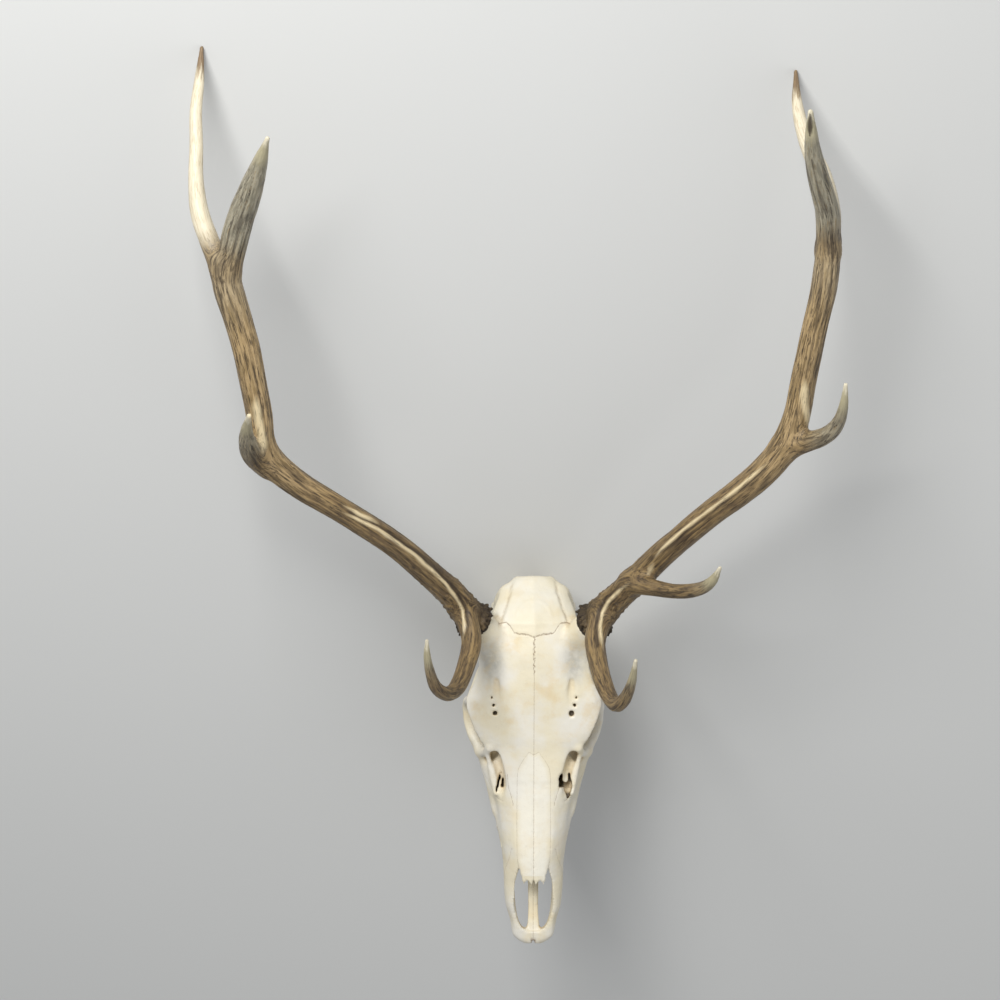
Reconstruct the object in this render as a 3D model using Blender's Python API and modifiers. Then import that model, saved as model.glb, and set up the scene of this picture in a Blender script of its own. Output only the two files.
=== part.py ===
# Elk skull with antlers, in metres. It is modelled in the skull's own frame: x across (+x is the
# animal's left), y along the skull from the nose tip to the back, z up from the chewing plane.
# The empty "rest_pose" then tips everything back, as the skull rests on a table.
import math

import bmesh
import bpy
from mathutils import Vector

SKULL_LENGTH = 0.446
GAP = 0.0003
BLEND_VOXEL = 0.0030
SKULL_TRIANGLES = 4150
CURVE_STEPS = 2
WELD_DISTANCE = 0.00001

# The weight of the antlers tips the skull back until it rests on the processes beside its
# condyles and on the tips of both rear tines, with its nose in the air.
NOSE_LIFT = math.radians(34.0)

# Half outlines of the snout across the skull, from the top middle to the palate middle: (x, z).
SNOUT = {
    0.000: ((0, 0.022), (0.008, 0.022), (0.013, 0.020), (0.016, 0.018), (0.017, 0.015),
            (0.015, 0.010), (0.009, 0.008), (0, 0.008)),
    0.012: ((0, 0.026), (0.010, 0.027), (0.018, 0.027), (0.023, 0.024), (0.025, 0.018),
            (0.022, 0.011), (0.013, 0.009), (0, 0.010)),
    0.030: ((0, 0.030), (0.012, 0.034), (0.022, 0.035), (0.026, 0.030), (0.028, 0.022),
            (0.025, 0.013), (0.014, 0.011), (0, 0.013)),
    0.052: ((0, 0.045), (0.014, 0.048), (0.026, 0.046), (0.032, 0.038), (0.0335, 0.028),
            (0.030, 0.016), (0.016, 0.013), (0, 0.016)),
    0.077: ((0, 0.068), (0.013, 0.066), (0.024, 0.060), (0.033, 0.048), (0.0355, 0.036),
            (0.031, 0.019), (0.017, 0.015), (0, 0.019)),
    0.098: ((0, 0.076), (0.015, 0.075), (0.025, 0.067), (0.033, 0.054), (0.036, 0.040),
            (0.031, 0.020), (0.018, 0.016), (0, 0.021)),
    0.121: ((0, 0.080), (0.018, 0.079), (0.028, 0.071), (0.036, 0.057), (0.039, 0.041),
            (0.034, 0.018), (0.022, 0.017), (0, 0.026)),
    0.145: ((0, 0.084), (0.019, 0.083), (0.031, 0.075), (0.040, 0.060), (0.0435, 0.042),
            (0.040, 0.017), (0.026, 0.017), (0, 0.031)),
    0.170: ((0, 0.088), (0.020, 0.087), (0.034, 0.078), (0.045, 0.062), (0.050, 0.043),
            (0.045, 0.017), (0.029, 0.017), (0, 0.034)),
    0.195: ((0, 0.092), (0.023, 0.091), (0.040, 0.082), (0.051, 0.064), (0.055, 0.044),
            (0.049, 0.018), (0.032, 0.018), (0, 0.036)),
    0.218: ((0, 0.096), (0.028, 0.095), (0.046, 0.085), (0.055, 0.064), (0.060, 0.046),
            (0.052, 0.019), (0.034, 0.019), (0, 0.037)),
    0.240: ((0, 0.101), (0.032, 0.099), (0.040, 0.086), (0.034, 0.064), (0.050, 0.044),
            (0.053, 0.020), (0.035, 0.020), (0, 0.039)),
    0.258: ((0, 0.106), (0.030, 0.103), (0.026, 0.086), (0.020, 0.064), (0.034, 0.046),
            (0.050, 0.026), (0.036, 0.024), (0, 0.042)),
    0.285: ((0, 0.112), (0.028, 0.108), (0.022, 0.088), (0.018, 0.064), (0.018, 0.050),
            (0.016, 0.040), (0.010, 0.038), (0, 0.042)),
    0.320: ((0, 0.118), (0.034, 0.112), (0.034, 0.090), (0.028, 0.064), (0.018, 0.050),
            (0.014, 0.042), (0.008, 0.040), (0, 0.041)),
}

# The plate of the forehead: distance along, top height, half width and height of its edge.
FOREHEAD = (
    (0.205, 0.0930, 0.0300, 0.087), (0.2375, 0.1000, 0.0490, 0.094), (0.252, 0.1055, 0.0635, 0.100),
    (0.271, 0.1120, 0.0725, 0.106), (0.298, 0.1215, 0.0800, 0.110), (0.325, 0.1290, 0.0690, 0.113),
    (0.360, 0.1350, 0.0594, 0.117), (0.381, 0.1350, 0.0530, 0.118), (0.402, 0.1290, 0.0490, 0.113),
    (0.420, 0.1190, 0.0445, 0.104), (0.437, 0.1060, 0.0320, 0.094), (SKULL_LENGTH, 0.0960, 0.0220, 0.088),
)
FOREHEAD_THICK = 0.011
# Across the plate, as shares of the half width and of the fall from its middle to its edge.
SHOULDER_OUT = 0.62
SHOULDER_FALL = 0.34
BROW_OUT = 0.90
BROW_FALL = 0.75
EDGE_ROUND = 0.002

# Air space of the nose behind its opening: distance along, half width, floor and roof.
NOSE_CAVITY = (
    (0.016, 0.010, 0.024, 0.050), (0.030, 0.017, 0.024, 0.070), (0.052, 0.022, 0.026, 0.090),
    (0.0835, 0.024, 0.028, 0.090), (0.0845, 0.020, 0.028, 0.068), (0.120, 0.024, 0.034, 0.072),
    (0.170, 0.032, 0.042, 0.078), (0.210, 0.036, 0.046, 0.080),
)

BRAIN_CENTRE = (0, 0.370, 0.084)
BRAIN_RADII = (0.043, 0.062, 0.044)
BRAIN_WALL = 0.007

ORBIT_CENTRE = (0.078, 0.265, 0.0775)
ORBIT_RADII = (0.046, 0.0250, 0.0225)

# Arches and struts of the skull's left side, which the right side mirrors: (x, y, z, radius).
ARCHES = {
    "cheek_arch": (
        (0.041, 0.165, 0.043, 0.0085), (0.049, 0.200, 0.045, 0.0110), (0.060, 0.232, 0.048, 0.0115),
        (0.0735, 0.258, 0.050, 0.0085), (0.0785, 0.292, 0.055, 0.0062), (0.074, 0.318, 0.060, 0.0060),
        (0.062, 0.340, 0.064, 0.0075), (0.044, 0.352, 0.066, 0.011),
    ),
    "orbit_bar": (
        (0.078, 0.290, 0.055, 0.0065), (0.079, 0.297, 0.072, 0.0050), (0.075, 0.300, 0.090, 0.0058),
        (0.066, 0.302, 0.104, 0.0085),
    ),
    "orbit_rim_low": (
        (0.060, 0.236, 0.060, 0.008), (0.053, 0.236, 0.076, 0.008), (0.049, 0.240, 0.090, 0.009),
    ),
    "jugular_process": (
        (0.038, 0.402, 0.060, 0.0120), (0.043, 0.408, 0.038, 0.0078), (0.042, 0.410, 0.017, 0.0042),
    ),
    "pterygoid": (
        (0.019, 0.262, 0.042, 0.0065), (0.018, 0.285, 0.034, 0.0042), (0.017, 0.305, 0.032, 0.0040),
        (0.016, 0.318, 0.042, 0.0050),
    ),
    "pterygoid_hook": ((0.018, 0.288, 0.034, 0.0036), (0.0185, 0.297, 0.020, 0.0018)),
    "occipital_side": (
        (0.030, 0.424, 0.090, 0.013), (0.036, 0.414, 0.070, 0.012), (0.032, 0.412, 0.054, 0.011),
    ),
    "pedicle": ((0.044, 0.372, 0.112, 0.018), (0.054, 0.381, 0.124, 0.0165), (0.0645, 0.390, 0.1355, 0.0165)),
}
SKULL_BASE = (
    (0, 0.300, 0.047, 0.011), (0, 0.340, 0.047, 0.012), (0, 0.380, 0.048, 0.015), (0, 0.412, 0.050, 0.016),
)

# Rounded bones: centre and radii, with a partner on the right side where x isn't 0.
KNOBS = {
    "braincase": (BRAIN_CENTRE, BRAIN_RADII),
    "occiput": ((0, 0.408, 0.080), (0.038, 0.027, 0.026)),
    "crest": ((0, 0.428, 0.095), (0.026, 0.016, 0.010)),
    "condyle": ((0.0195, 0.424, 0.050), (0.0125, 0.0140, 0.0185)),
    "ear_bulla": ((0.028, 0.368, 0.042), (0.0105, 0.0150, 0.0130)),
    "ear_bone": ((0.042, 0.372, 0.062), (0.0110, 0.0140, 0.0150)),
    "tooth_bearing_bone": ((0.043, 0.255, 0.028), (0.0095, 0.0170, 0.0110)),
}

# Palatine openings behind the nose tip: distance along, inner and outer edge.
PALATE_OPENING = (
    (0.021, 0.0105, 0.0125), (0.030, 0.0068, 0.0170), (0.050, 0.0065, 0.0225), (0.074, 0.0065, 0.0240),
)
PALATE_CUT_TOP = 0.060
FORAMEN_MAGNUM = ((0, 0.450, 0.057), (0, 0.380, 0.068), 0.0135)
TEAR_PIT = ((0.047, 0.205, 0.071, 0.0030), (0.044, 0.194, 0.073, 0.0060), (0.042, 0.181, 0.070, 0.0035))
BROW_HOLE = ((0.041, 0.284, 0.130), (0.039, 0.284, 0.100), 0.0026)

# Cheek teeth of one side, front to back: name, middle along the skull, half width, half length.
TEETH = (
    ("premolar_2", 0.141, 0.0070, 0.0082), ("premolar_3", 0.159, 0.0080, 0.0086),
    ("premolar_4", 0.177, 0.0085, 0.0083), ("molar_1", 0.1975, 0.0095, 0.0108),
    ("molar_2", 0.2215, 0.0102, 0.0118), ("molar_3", 0.2455, 0.0098, 0.0110),
)
TOOTH_ROW_FRONT = 0.0345
TOOTH_ROW_BACK = 0.0430
TOOTH_ROW_BOW = 0.0025
CROWN_BOTTOM = 0.002
ROOT_TOP = 0.027
TOOTH_LEAN = math.radians(8.0)
# A crown's rings, as shares of its height and of its full width, and the folds of its outline.
CROWN_RINGS = ((0, 0.80), (0.45, 0.97), (0.80, 1.0))
CROWN_WAIST = 0.86
CROWN_CORNER = 0.70
CUSP_INSET = 0.94
CUSP_VALLEY = 0.0030

# Antler routes: (x, y, z, radius). A beam runs from its burr to the fork at its top.
RIGHT_BEAM = (
    (-0.0690, 0.394, 0.1390, 0.0190), (-0.083, 0.411, 0.154, 0.0172), (-0.095, 0.427, 0.172, 0.0164),
    (-0.118, 0.449, 0.200, 0.0155), (-0.162, 0.488, 0.250, 0.0147), (-0.220, 0.527, 0.295, 0.0145),
    (-0.261, 0.552, 0.315, 0.0150), (-0.291, 0.578, 0.335, 0.0160), (-0.301, 0.602, 0.352, 0.0153),
    (-0.302, 0.630, 0.368, 0.0147), (-0.307, 0.664, 0.388, 0.0148), (-0.312, 0.697, 0.408, 0.0150),
    (-0.320, 0.730, 0.425, 0.0152), (-0.329, 0.763, 0.442, 0.0158), (-0.3315, 0.788, 0.455, 0.0142),
)
LEFT_BEAM = (
    (0.0680, 0.393, 0.1390, 0.0190), (0.081, 0.408, 0.154, 0.0172), (0.093, 0.421, 0.169, 0.0165),
    (0.113, 0.441, 0.191, 0.0155), (0.149, 0.479, 0.231, 0.0148), (0.196, 0.521, 0.275, 0.0146),
    (0.224, 0.543, 0.296, 0.0154), (0.250, 0.566, 0.316, 0.0160), (0.272, 0.594, 0.334, 0.0160),
    (0.284, 0.628, 0.351, 0.0148), (0.289, 0.663, 0.370, 0.0142), (0.294, 0.696, 0.390, 0.0140),
    (0.299, 0.727, 0.408, 0.0138), (0.305, 0.759, 0.426, 0.0140), (0.3075, 0.788, 0.441, 0.0136),
    (0.3075, 0.806, 0.450, 0.0118),
)
# Where each beam is split into its lower and upper piece: the point by its third tine.
RIGHT_SPLIT = 7
LEFT_SPLIT = 8

# Tine routes, from inside the beam to the blunt tip.
TINES = {
    "right_brow_tine": (
        (-0.081, 0.408, 0.160, 0.0135), (-0.073, 0.374, 0.180, 0.0118), (-0.079, 0.346, 0.208, 0.0104),
        (-0.088, 0.325, 0.242, 0.0096), (-0.099, 0.319, 0.272, 0.0084), (-0.111, 0.328, 0.300, 0.0072),
        (-0.117, 0.346, 0.322, 0.0056), (-0.120, 0.366, 0.340, 0.0040), (-0.120, 0.382, 0.350, 0.0021),
    ),
    "left_brow_tine": (
        (0.080, 0.406, 0.160, 0.0140), (0.070, 0.375, 0.180, 0.0124), (0.072, 0.351, 0.204, 0.0110),
        (0.077, 0.330, 0.232, 0.0102), (0.084, 0.313, 0.262, 0.0092), (0.091, 0.308, 0.290, 0.0083),
        (0.099, 0.318, 0.315, 0.0070), (0.105, 0.338, 0.338, 0.0050), (0.108, 0.361, 0.360, 0.0023),
    ),
    "left_bez_tine": (
        (0.111, 0.442, 0.192, 0.0135), (0.132, 0.437, 0.235, 0.0098), (0.153, 0.434, 0.270, 0.0085),
        (0.171, 0.435, 0.300, 0.0080), (0.185, 0.440, 0.325, 0.0070), (0.194, 0.449, 0.343, 0.0052),
        (0.200, 0.462, 0.358, 0.0022),
    ),
    "right_third_tine": (
        (-0.297, 0.574, 0.334, 0.0126), (-0.308, 0.583, 0.358, 0.0120), (-0.312, 0.596, 0.390, 0.0103),
        (-0.311, 0.610, 0.420, 0.0068), (-0.306, 0.625, 0.450, 0.0026),
    ),
    "left_third_tine": (
        (0.272, 0.593, 0.332, 0.0118), (0.294, 0.599, 0.349, 0.0112), (0.313, 0.606, 0.380, 0.0093),
        (0.323, 0.619, 0.408, 0.0074), (0.326, 0.636, 0.432, 0.0052), (0.326, 0.658, 0.450, 0.0023),
    ),
    "right_top_front_tine": (
        (-0.3275, 0.780, 0.450, 0.0138), (-0.318, 0.812, 0.475, 0.0146), (-0.308, 0.836, 0.500, 0.0142),
        (-0.300, 0.850, 0.522, 0.0129), (-0.292, 0.865, 0.545, 0.0110), (-0.283, 0.882, 0.573, 0.0074),
        (-0.274, 0.900, 0.600, 0.0026),
    ),
    "left_top_front_tine": (
        (0.3075, 0.802, 0.448, 0.0122), (0.303, 0.836, 0.481, 0.0126), (0.296, 0.853, 0.505, 0.0122),
        (0.286, 0.874, 0.535, 0.0108), (0.279, 0.891, 0.562, 0.0088), (0.275, 0.907, 0.585, 0.0065),
        (0.272, 0.926, 0.605, 0.0030),
    ),
    "right_top_rear_tine": (
        (-0.335, 0.780, 0.449, 0.0112), (-0.3475, 0.810, 0.451, 0.0108), (-0.358, 0.841, 0.451, 0.0100),
        (-0.362, 0.876, 0.449, 0.0082), (-0.362, 0.912, 0.445, 0.0074), (-0.363, 0.948, 0.440, 0.0067),
        (-0.360, 0.984, 0.433, 0.0054), (-0.358, 1.018, 0.4281, 0.0022),
    ),
    "left_top_rear_tine": (
        (0.3085, 0.800, 0.444, 0.0112), (0.3100, 0.838, 0.448, 0.0112), (0.302, 0.878, 0.445, 0.0104),
        (0.289, 0.908, 0.439, 0.0090), (0.281, 0.935, 0.432, 0.0075), (0.277, 0.962, 0.424, 0.0056),
        (0.277, 0.995, 0.4124, 0.0022),
    ),
}
BURR_RADIUS = 0.0245
BURR_TUBE = 0.0052
BURR_STRETCH = 1.3
BURR_UP = 0.005
# Lumps round the burr: how many, their height and their turn.
BURR_LUMPS = ((5, 0.0012, 0), (9, 0.0008, 1))


def clear_scene():
    for found in list(bpy.data.objects):
        bpy.data.objects.remove(found)


def make_material(name, colour, roughness):
    material = bpy.data.materials.new(name)
    material.use_nodes = True
    shader = material.node_tree.nodes["Principled BSDF"]
    shader.inputs["Base Color"].default_value = (*colour, 1)
    shader.inputs["Roughness"].default_value = roughness
    shader.inputs["Metallic"].default_value = 0
    material.diffuse_color = (*colour, 1)
    return material


def new_object(name, bm, collection):
    bmesh.ops.recalc_face_normals(bm, faces=bm.faces)
    mesh = bpy.data.meshes.new(name)
    bm.to_mesh(mesh)
    bm.free()
    made = bpy.data.objects.new(name, mesh)
    collection.objects.link(made)
    return made


def loft(name, rings, collection):
    """A closed body through rings with the same number of points."""
    bm = bmesh.new()
    loops = [[bm.verts.new(point) for point in ring] for ring in rings]
    count = len(loops[0])
    for first, second in zip(loops, loops[1:]):
        for i in range(count):
            after = (i + 1) % count
            bm.faces.new((first[i], first[after], second[after], second[i]))
    bm.faces.new(loops[0])
    bm.faces.new(loops[-1])
    return new_object(name, bm, collection)


def mirrored(points):
    return [(-point[0], *point[1:]) for point in points]


def full_ring(half, y):
    """A ring across the skull from its left half, which starts and ends on the middle plane."""
    left = [(x, y, z) for x, z in half]
    return left + mirrored(reversed(left[1:-1]))


def tube(name, route, collection, sides=3):
    """A smooth round bar along the route, whose radius follows the route's fourth value."""
    curve = bpy.data.curves.new(name, "CURVE")
    curve.dimensions = "3D"
    curve.bevel_depth = 1
    curve.bevel_resolution = sides
    curve.resolution_u = CURVE_STEPS
    curve.use_fill_caps = True
    spline = curve.splines.new("BEZIER")
    spline.bezier_points.add(len(route) - 1)
    for point, (x, y, z, radius) in zip(spline.bezier_points, route):
        point.co = (x, y, z)
        point.radius = radius
        point.handle_left_type = "AUTO"
        point.handle_right_type = "AUTO"
    drawn = bpy.data.objects.new(name + "_curve", curve)
    collection.objects.link(drawn)
    bpy.context.view_layer.update()
    graph = bpy.context.evaluated_depsgraph_get()
    mesh = bpy.data.meshes.new_from_object(drawn.evaluated_get(graph))
    bm = bmesh.new()
    bm.from_mesh(mesh)
    bmesh.ops.remove_doubles(bm, verts=bm.verts, dist=WELD_DISTANCE)
    made = new_object(name, bm, collection)
    made.matrix_world = drawn.matrix_world
    bpy.data.objects.remove(drawn)
    bpy.data.meshes.remove(mesh)
    return made


def ellipsoid(name, centre, radii, collection, around=20, rows=12):
    bm = bmesh.new()
    bmesh.ops.create_uvsphere(bm, u_segments=around, v_segments=rows, radius=1)
    bmesh.ops.scale(bm, vec=radii, verts=bm.verts)
    bmesh.ops.translate(bm, vec=centre, verts=bm.verts)
    return new_object(name, bm, collection)


def rod(name, start, end, radius, collection):
    """A straight round cutter from start to end."""
    start = Vector(start)
    end = Vector(end)
    along = end - start
    bm = bmesh.new()
    bmesh.ops.create_cone(bm, cap_ends=True, segments=16, radius1=radius, radius2=radius, depth=along.length)
    made = new_object(name, bm, collection)
    made.rotation_mode = "QUATERNION"
    made.rotation_quaternion = along.to_track_quat("Z", "Y")
    made.location = (start + end) / 2
    return made


def join(target, others):
    """Puts the other meshes into the target's mesh."""
    bm = bmesh.new()
    bm.from_mesh(target.data)
    for other in others:
        bm.from_mesh(other.data)
        bpy.data.objects.remove(other)
    bm.to_mesh(target.data)
    bm.free()


def settle(target):
    """Turns the target's modifiers into its own mesh."""
    bpy.context.view_layer.update()
    graph = bpy.context.evaluated_depsgraph_get()
    mesh = bpy.data.meshes.new_from_object(target.evaluated_get(graph))
    target.modifiers.clear()
    target.data = mesh


def cut(target, cutter):
    modifier = target.modifiers.new("cut_" + cutter.name, "BOOLEAN")
    modifier.operation = "DIFFERENCE"
    modifier.solver = "EXACT"
    modifier.object = cutter
    cutter.hide_render = True
    cutter.display_type = "WIRE"


def forehead_ring(y, top, half_width, edge):
    """A curved plate: its top arches from the middle to the edge, and its underside follows it."""
    fall = top - edge
    shoulder = SHOULDER_OUT * half_width
    shoulder_height = top - SHOULDER_FALL * fall
    brow = (BROW_OUT * half_width, top - BROW_FALL * fall)
    upper = [(0, top), (shoulder, shoulder_height), brow, (half_width, edge - EDGE_ROUND)]
    under_edge = (half_width - EDGE_ROUND, edge - 3 * EDGE_ROUND)
    lower = [under_edge, (shoulder, shoulder_height - FOREHEAD_THICK), (0, top - FOREHEAD_THICK)]
    return full_ring(upper + lower, y)


def build_skull_mass(collection):
    """All the bones of the skull as overlapping shapes, blended into one skin."""
    skull = loft("skull", [full_ring(half, y) for y, half in SNOUT.items()], collection)
    shapes = [loft("forehead", [forehead_ring(*row) for row in FOREHEAD], collection)]
    shapes.append(tube("skull_base", SKULL_BASE, collection))
    for name, route in ARCHES.items():
        shapes.append(tube(name, route, collection))
        shapes.append(tube(name + "_right", mirrored(route), collection))
    for name, (centre, radii) in KNOBS.items():
        shapes.append(ellipsoid(name, centre, radii, collection))
        if centre[0]:
            shapes.append(ellipsoid(name + "_right", (-centre[0], *centre[1:]), radii, collection))
    join(skull, shapes)
    blend = skull.modifiers.new("blend", "REMESH")
    blend.mode = "VOXEL"
    blend.voxel_size = BLEND_VOXEL
    soften = skull.modifiers.new("soften", "SMOOTH")
    soften.factor = 0.5
    soften.iterations = 3
    settle(skull)
    return skull


def reduce_faces(target, triangles):
    """Keeps about this many triangles, fewest where the surface is flattest."""
    settle(target)
    target.data.calc_loop_triangles()
    reduce = target.modifiers.new("reduce", "DECIMATE")
    reduce.ratio = triangles / len(target.data.loop_triangles)
    settle(target)


def nose_ring(y, half_width, floor, roof):
    """Across the nose's air space, which is rounder at its roof than at its floor."""
    height = roof - floor
    roof_corner = (0.7 * half_width, roof - 0.15 * height)
    floor_corner = (0.8 * half_width, floor + 0.1 * height)
    half = ((0, roof), roof_corner, (half_width, floor + height / 2), floor_corner, (0, floor))
    return full_ring(half, y)


def palate_cutter(name, side, collection):
    """A cutter for the slot between the side of the nose and the bar along the palate's middle."""
    top = PALATE_CUT_TOP
    rings = []
    for y, inner, outer in PALATE_OPENING:
        left = side * inner
        right = side * outer
        rings.append([(left, y, 0), (right, y, 0), (right, y, top), (left, y, top)])
    return loft(name, rings, collection)


def build_cutters(collection):
    cutters = [loft("nose_cavity", [nose_ring(*row) for row in NOSE_CAVITY], collection)]
    brain_radii = [radius - BRAIN_WALL for radius in BRAIN_RADII]
    cutters.append(ellipsoid("brain_cavity", BRAIN_CENTRE, brain_radii, collection))
    start, end, radius = FORAMEN_MAGNUM
    cutters.append(rod("foramen_magnum", start, end, radius, collection))
    for side, word in ((1, "left"), (-1, "right")):
        x, y, z = ORBIT_CENTRE
        cutters.append(ellipsoid(word + "_orbit", (side * x, y, z), ORBIT_RADII, collection))
        cutters.append(palate_cutter(word + "_palate_opening", side, collection))
        pit = TEAR_PIT if side > 0 else mirrored(TEAR_PIT)
        cutters.append(tube(word + "_tear_pit", pit, collection, sides=2))
        top, bottom, radius = BROW_HOLE
        if side < 0:
            top, bottom = mirrored((top, bottom))
        cutters.append(rod(word + "_brow_hole", top, bottom, radius, collection))
    return cutters


def crown_ring(x, y, z):
    """The outline of a crown with two lobes and a waist between them."""
    outer = [(CROWN_CORNER * x, -y, z), (x, -y / 2, z), (CROWN_WAIST * x, 0, z), (x, y / 2, z),
             (CROWN_CORNER * x, y, z)]
    return outer + mirrored(reversed(outer))


def tooth_shape(name, half_width, half_length, grow, collection):
    """A crown with two ridged lobes, narrower toward its root. The root's end is at z = 0."""
    height = ROOT_TOP - CROWN_BOTTOM
    wide = half_width + grow
    long = half_length + grow
    rings = [crown_ring(wide * scale, long * scale, -share * height) for share, scale in CROWN_RINGS]
    rings[0] = [(x, y, z + grow) for x, y, z in rings[0]]
    cusps = []
    for x, y, z in rings[-1]:
        valley = CUSP_VALLEY if y in (0, long, -long) else 0
        cusps.append((x * CROWN_CORNER, y * CUSP_INSET, valley - height))
    rings.append(cusps)
    return loft(name, rings, collection)


def tooth_place(middle, side):
    first = TEETH[0][1]
    last = TEETH[-1][1]
    share = (middle - first) / (last - first)
    bow = math.sin(math.pi * share) * TOOTH_ROW_BOW
    x = TOOTH_ROW_FRONT + (TOOTH_ROW_BACK - TOOTH_ROW_FRONT) * share + bow
    return (side * x, middle, ROOT_TOP)


def build_teeth(skull, collection, cutters):
    teeth = []
    for side, word in ((1, "left"), (-1, "right")):
        for name, middle, half_width, half_length in TEETH:
            tooth = tooth_shape(word + "_" + name, half_width, half_length, 0, collection)
            socket = tooth_shape(word + "_" + name + "_socket", half_width, half_length, GAP, cutters)
            for shape in (tooth, socket):
                shape.location = tooth_place(middle, side)
                shape.rotation_euler = (0, -side * TOOTH_LEAN, 0)
            cut(skull, socket)
            teeth.append(tooth)
    return teeth


def split_tube(name, source, point, normal, collection):
    """The part of the source on the side that the normal points to, closed where it is cut."""
    bm = bmesh.new()
    bm.from_mesh(source.data)
    everything = bm.verts[:] + bm.edges[:] + bm.faces[:]
    sliced = bmesh.ops.bisect_plane(bm, geom=everything, plane_co=point, plane_no=normal, clear_inner=True)
    rim = [piece for piece in sliced["geom_cut"] if isinstance(piece, bmesh.types.BMEdge)]
    bmesh.ops.contextual_create(bm, geom=rim)
    return new_object(name, bm, collection)


def burr_ring(name, beam, extra, collection):
    """The lumpy ring at the antler's root, across the beam's first stretch."""
    bpy.ops.mesh.primitive_torus_add(major_segments=16, minor_segments=6,
                                     major_radius=BURR_RADIUS - BURR_TUBE, minor_radius=BURR_TUBE + extra)
    ring = bpy.context.object
    ring.name = name
    for vertex in ring.data.vertices:
        x, y, z = vertex.co
        turn = math.atan2(y, x)
        lump = sum(height * math.sin(count * turn + start) for count, height, start in BURR_LUMPS)
        out = 1 + lump / math.hypot(x, y)
        vertex.co = (x * out, y * out, z * BURR_STRETCH)
    root = Vector(beam[0][:3])
    along = (Vector(beam[1][:3]) - root).normalized()
    ring.rotation_mode = "QUATERNION"
    ring.rotation_quaternion = along.to_track_quat("Z", "Y")
    ring.location = root + along * BURR_UP
    for holder in list(ring.users_collection):
        holder.objects.unlink(ring)
    collection.objects.link(ring)
    return ring


def grown(route, extra):
    return tuple((x, y, z, radius + extra) for x, y, z, radius in route)


def build_antler(word, beam, split, skull, collection, cutters):
    """One antler: its beam in two pieces that meet at the third tine, and its tines."""
    whole = tube(word + "_beam", beam, collection)
    point = Vector(beam[split][:3])
    normal = (Vector(beam[split + 1][:3]) - Vector(beam[split - 1][:3])).normalized()
    lower = split_tube(word + "_lower_beam", whole, point - normal * GAP / 2, -normal, collection)
    upper = split_tube(word + "_upper_beam", whole, point + normal * GAP / 2, normal, collection)
    bpy.data.objects.remove(whole)
    ring = burr_ring(word + "_burr", beam, 0, cutters)
    union = lower.modifiers.new("burr", "BOOLEAN")
    union.operation = "UNION"
    union.object = ring
    ring.hide_render = True
    settle(lower)
    bpy.data.objects.remove(ring)
    beam_cutter = tube(word + "_beam_cutter", grown(beam, GAP), cutters)
    cut(skull, tube(word + "_burr_cutter", grown(beam[:3], GAP), cutters))
    pieces = [lower, upper]
    for name, route in TINES.items():
        if name.startswith(word):
            tine = tube(name, route, collection, sides=2)
            cut(tine, beam_cutter)
            if "brow" in name:
                cut(tine, burr_ring(word + "_burr_gap", beam, GAP, cutters))
            if "rear" in name:
                front = grown(TINES[word + "_top_front_tine"], GAP)
                cut(tine, tube(word + "_front_tine_cutter", front, cutters, sides=2))
            pieces.append(tine)
    return pieces


def set_down(rest, pieces):
    """Moves the resting pose so that the middle of the object's underside is at the origin."""
    bpy.context.view_layer.update()
    graph = bpy.context.evaluated_depsgraph_get()
    low = Vector((math.inf,) * 3)
    high = -low
    for piece in pieces:
        shown = piece.evaluated_get(graph)
        for vertex in shown.data.vertices:
            point = shown.matrix_world @ vertex.co
            for axis in range(3):
                low[axis] = min(low[axis], point[axis])
                high[axis] = max(high[axis], point[axis])
    rest.location = (-(low.x + high.x) / 2, -(low.y + high.y) / 2, -low.z)


def main():
    clear_scene()
    parts = bpy.data.collections.new("elk_skull")
    cutters = bpy.data.collections.new("cutters")
    for collection in (parts, cutters):
        bpy.context.scene.collection.children.link(collection)
    cutters.hide_render = True

    bone = make_material("bone", (0.78, 0.71, 0.55), 0.55)
    antler = make_material("antler", (0.19, 0.115, 0.055), 0.5)
    pale_tine = make_material("pale_tine", (0.72, 0.62, 0.45), 0.5)
    enamel = make_material("enamel", (0.66, 0.60, 0.46), 0.35)

    skull = build_skull_mass(parts)
    for cutter in build_cutters(cutters):
        cut(skull, cutter)
    reduce_faces(skull, SKULL_TRIANGLES)
    teeth = build_teeth(skull, parts, cutters)
    pieces = {
        bone: [skull],
        enamel: teeth,
        antler: build_antler("right", RIGHT_BEAM, RIGHT_SPLIT, skull, parts, cutters)
        + build_antler("left", LEFT_BEAM, LEFT_SPLIT, skull, parts, cutters),
    }

    rest = bpy.data.objects.new("rest_pose", None)
    parts.objects.link(rest)
    for material, members in pieces.items():
        for piece in members:
            piece.data.materials.clear()
            piece.data.materials.append(pale_tine if "rear" in piece.name else material)
            piece.data.shade_smooth()
            piece.parent = rest
    for cutter in cutters.objects:
        cutter.parent = rest
    rest.rotation_euler = (-NOSE_LIFT, 0, 0)
    set_down(rest, [piece for members in pieces.values() for piece in members])


main()
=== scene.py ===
# Elk skull with antlers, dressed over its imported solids. Lengths are metres throughout.
import math

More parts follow.
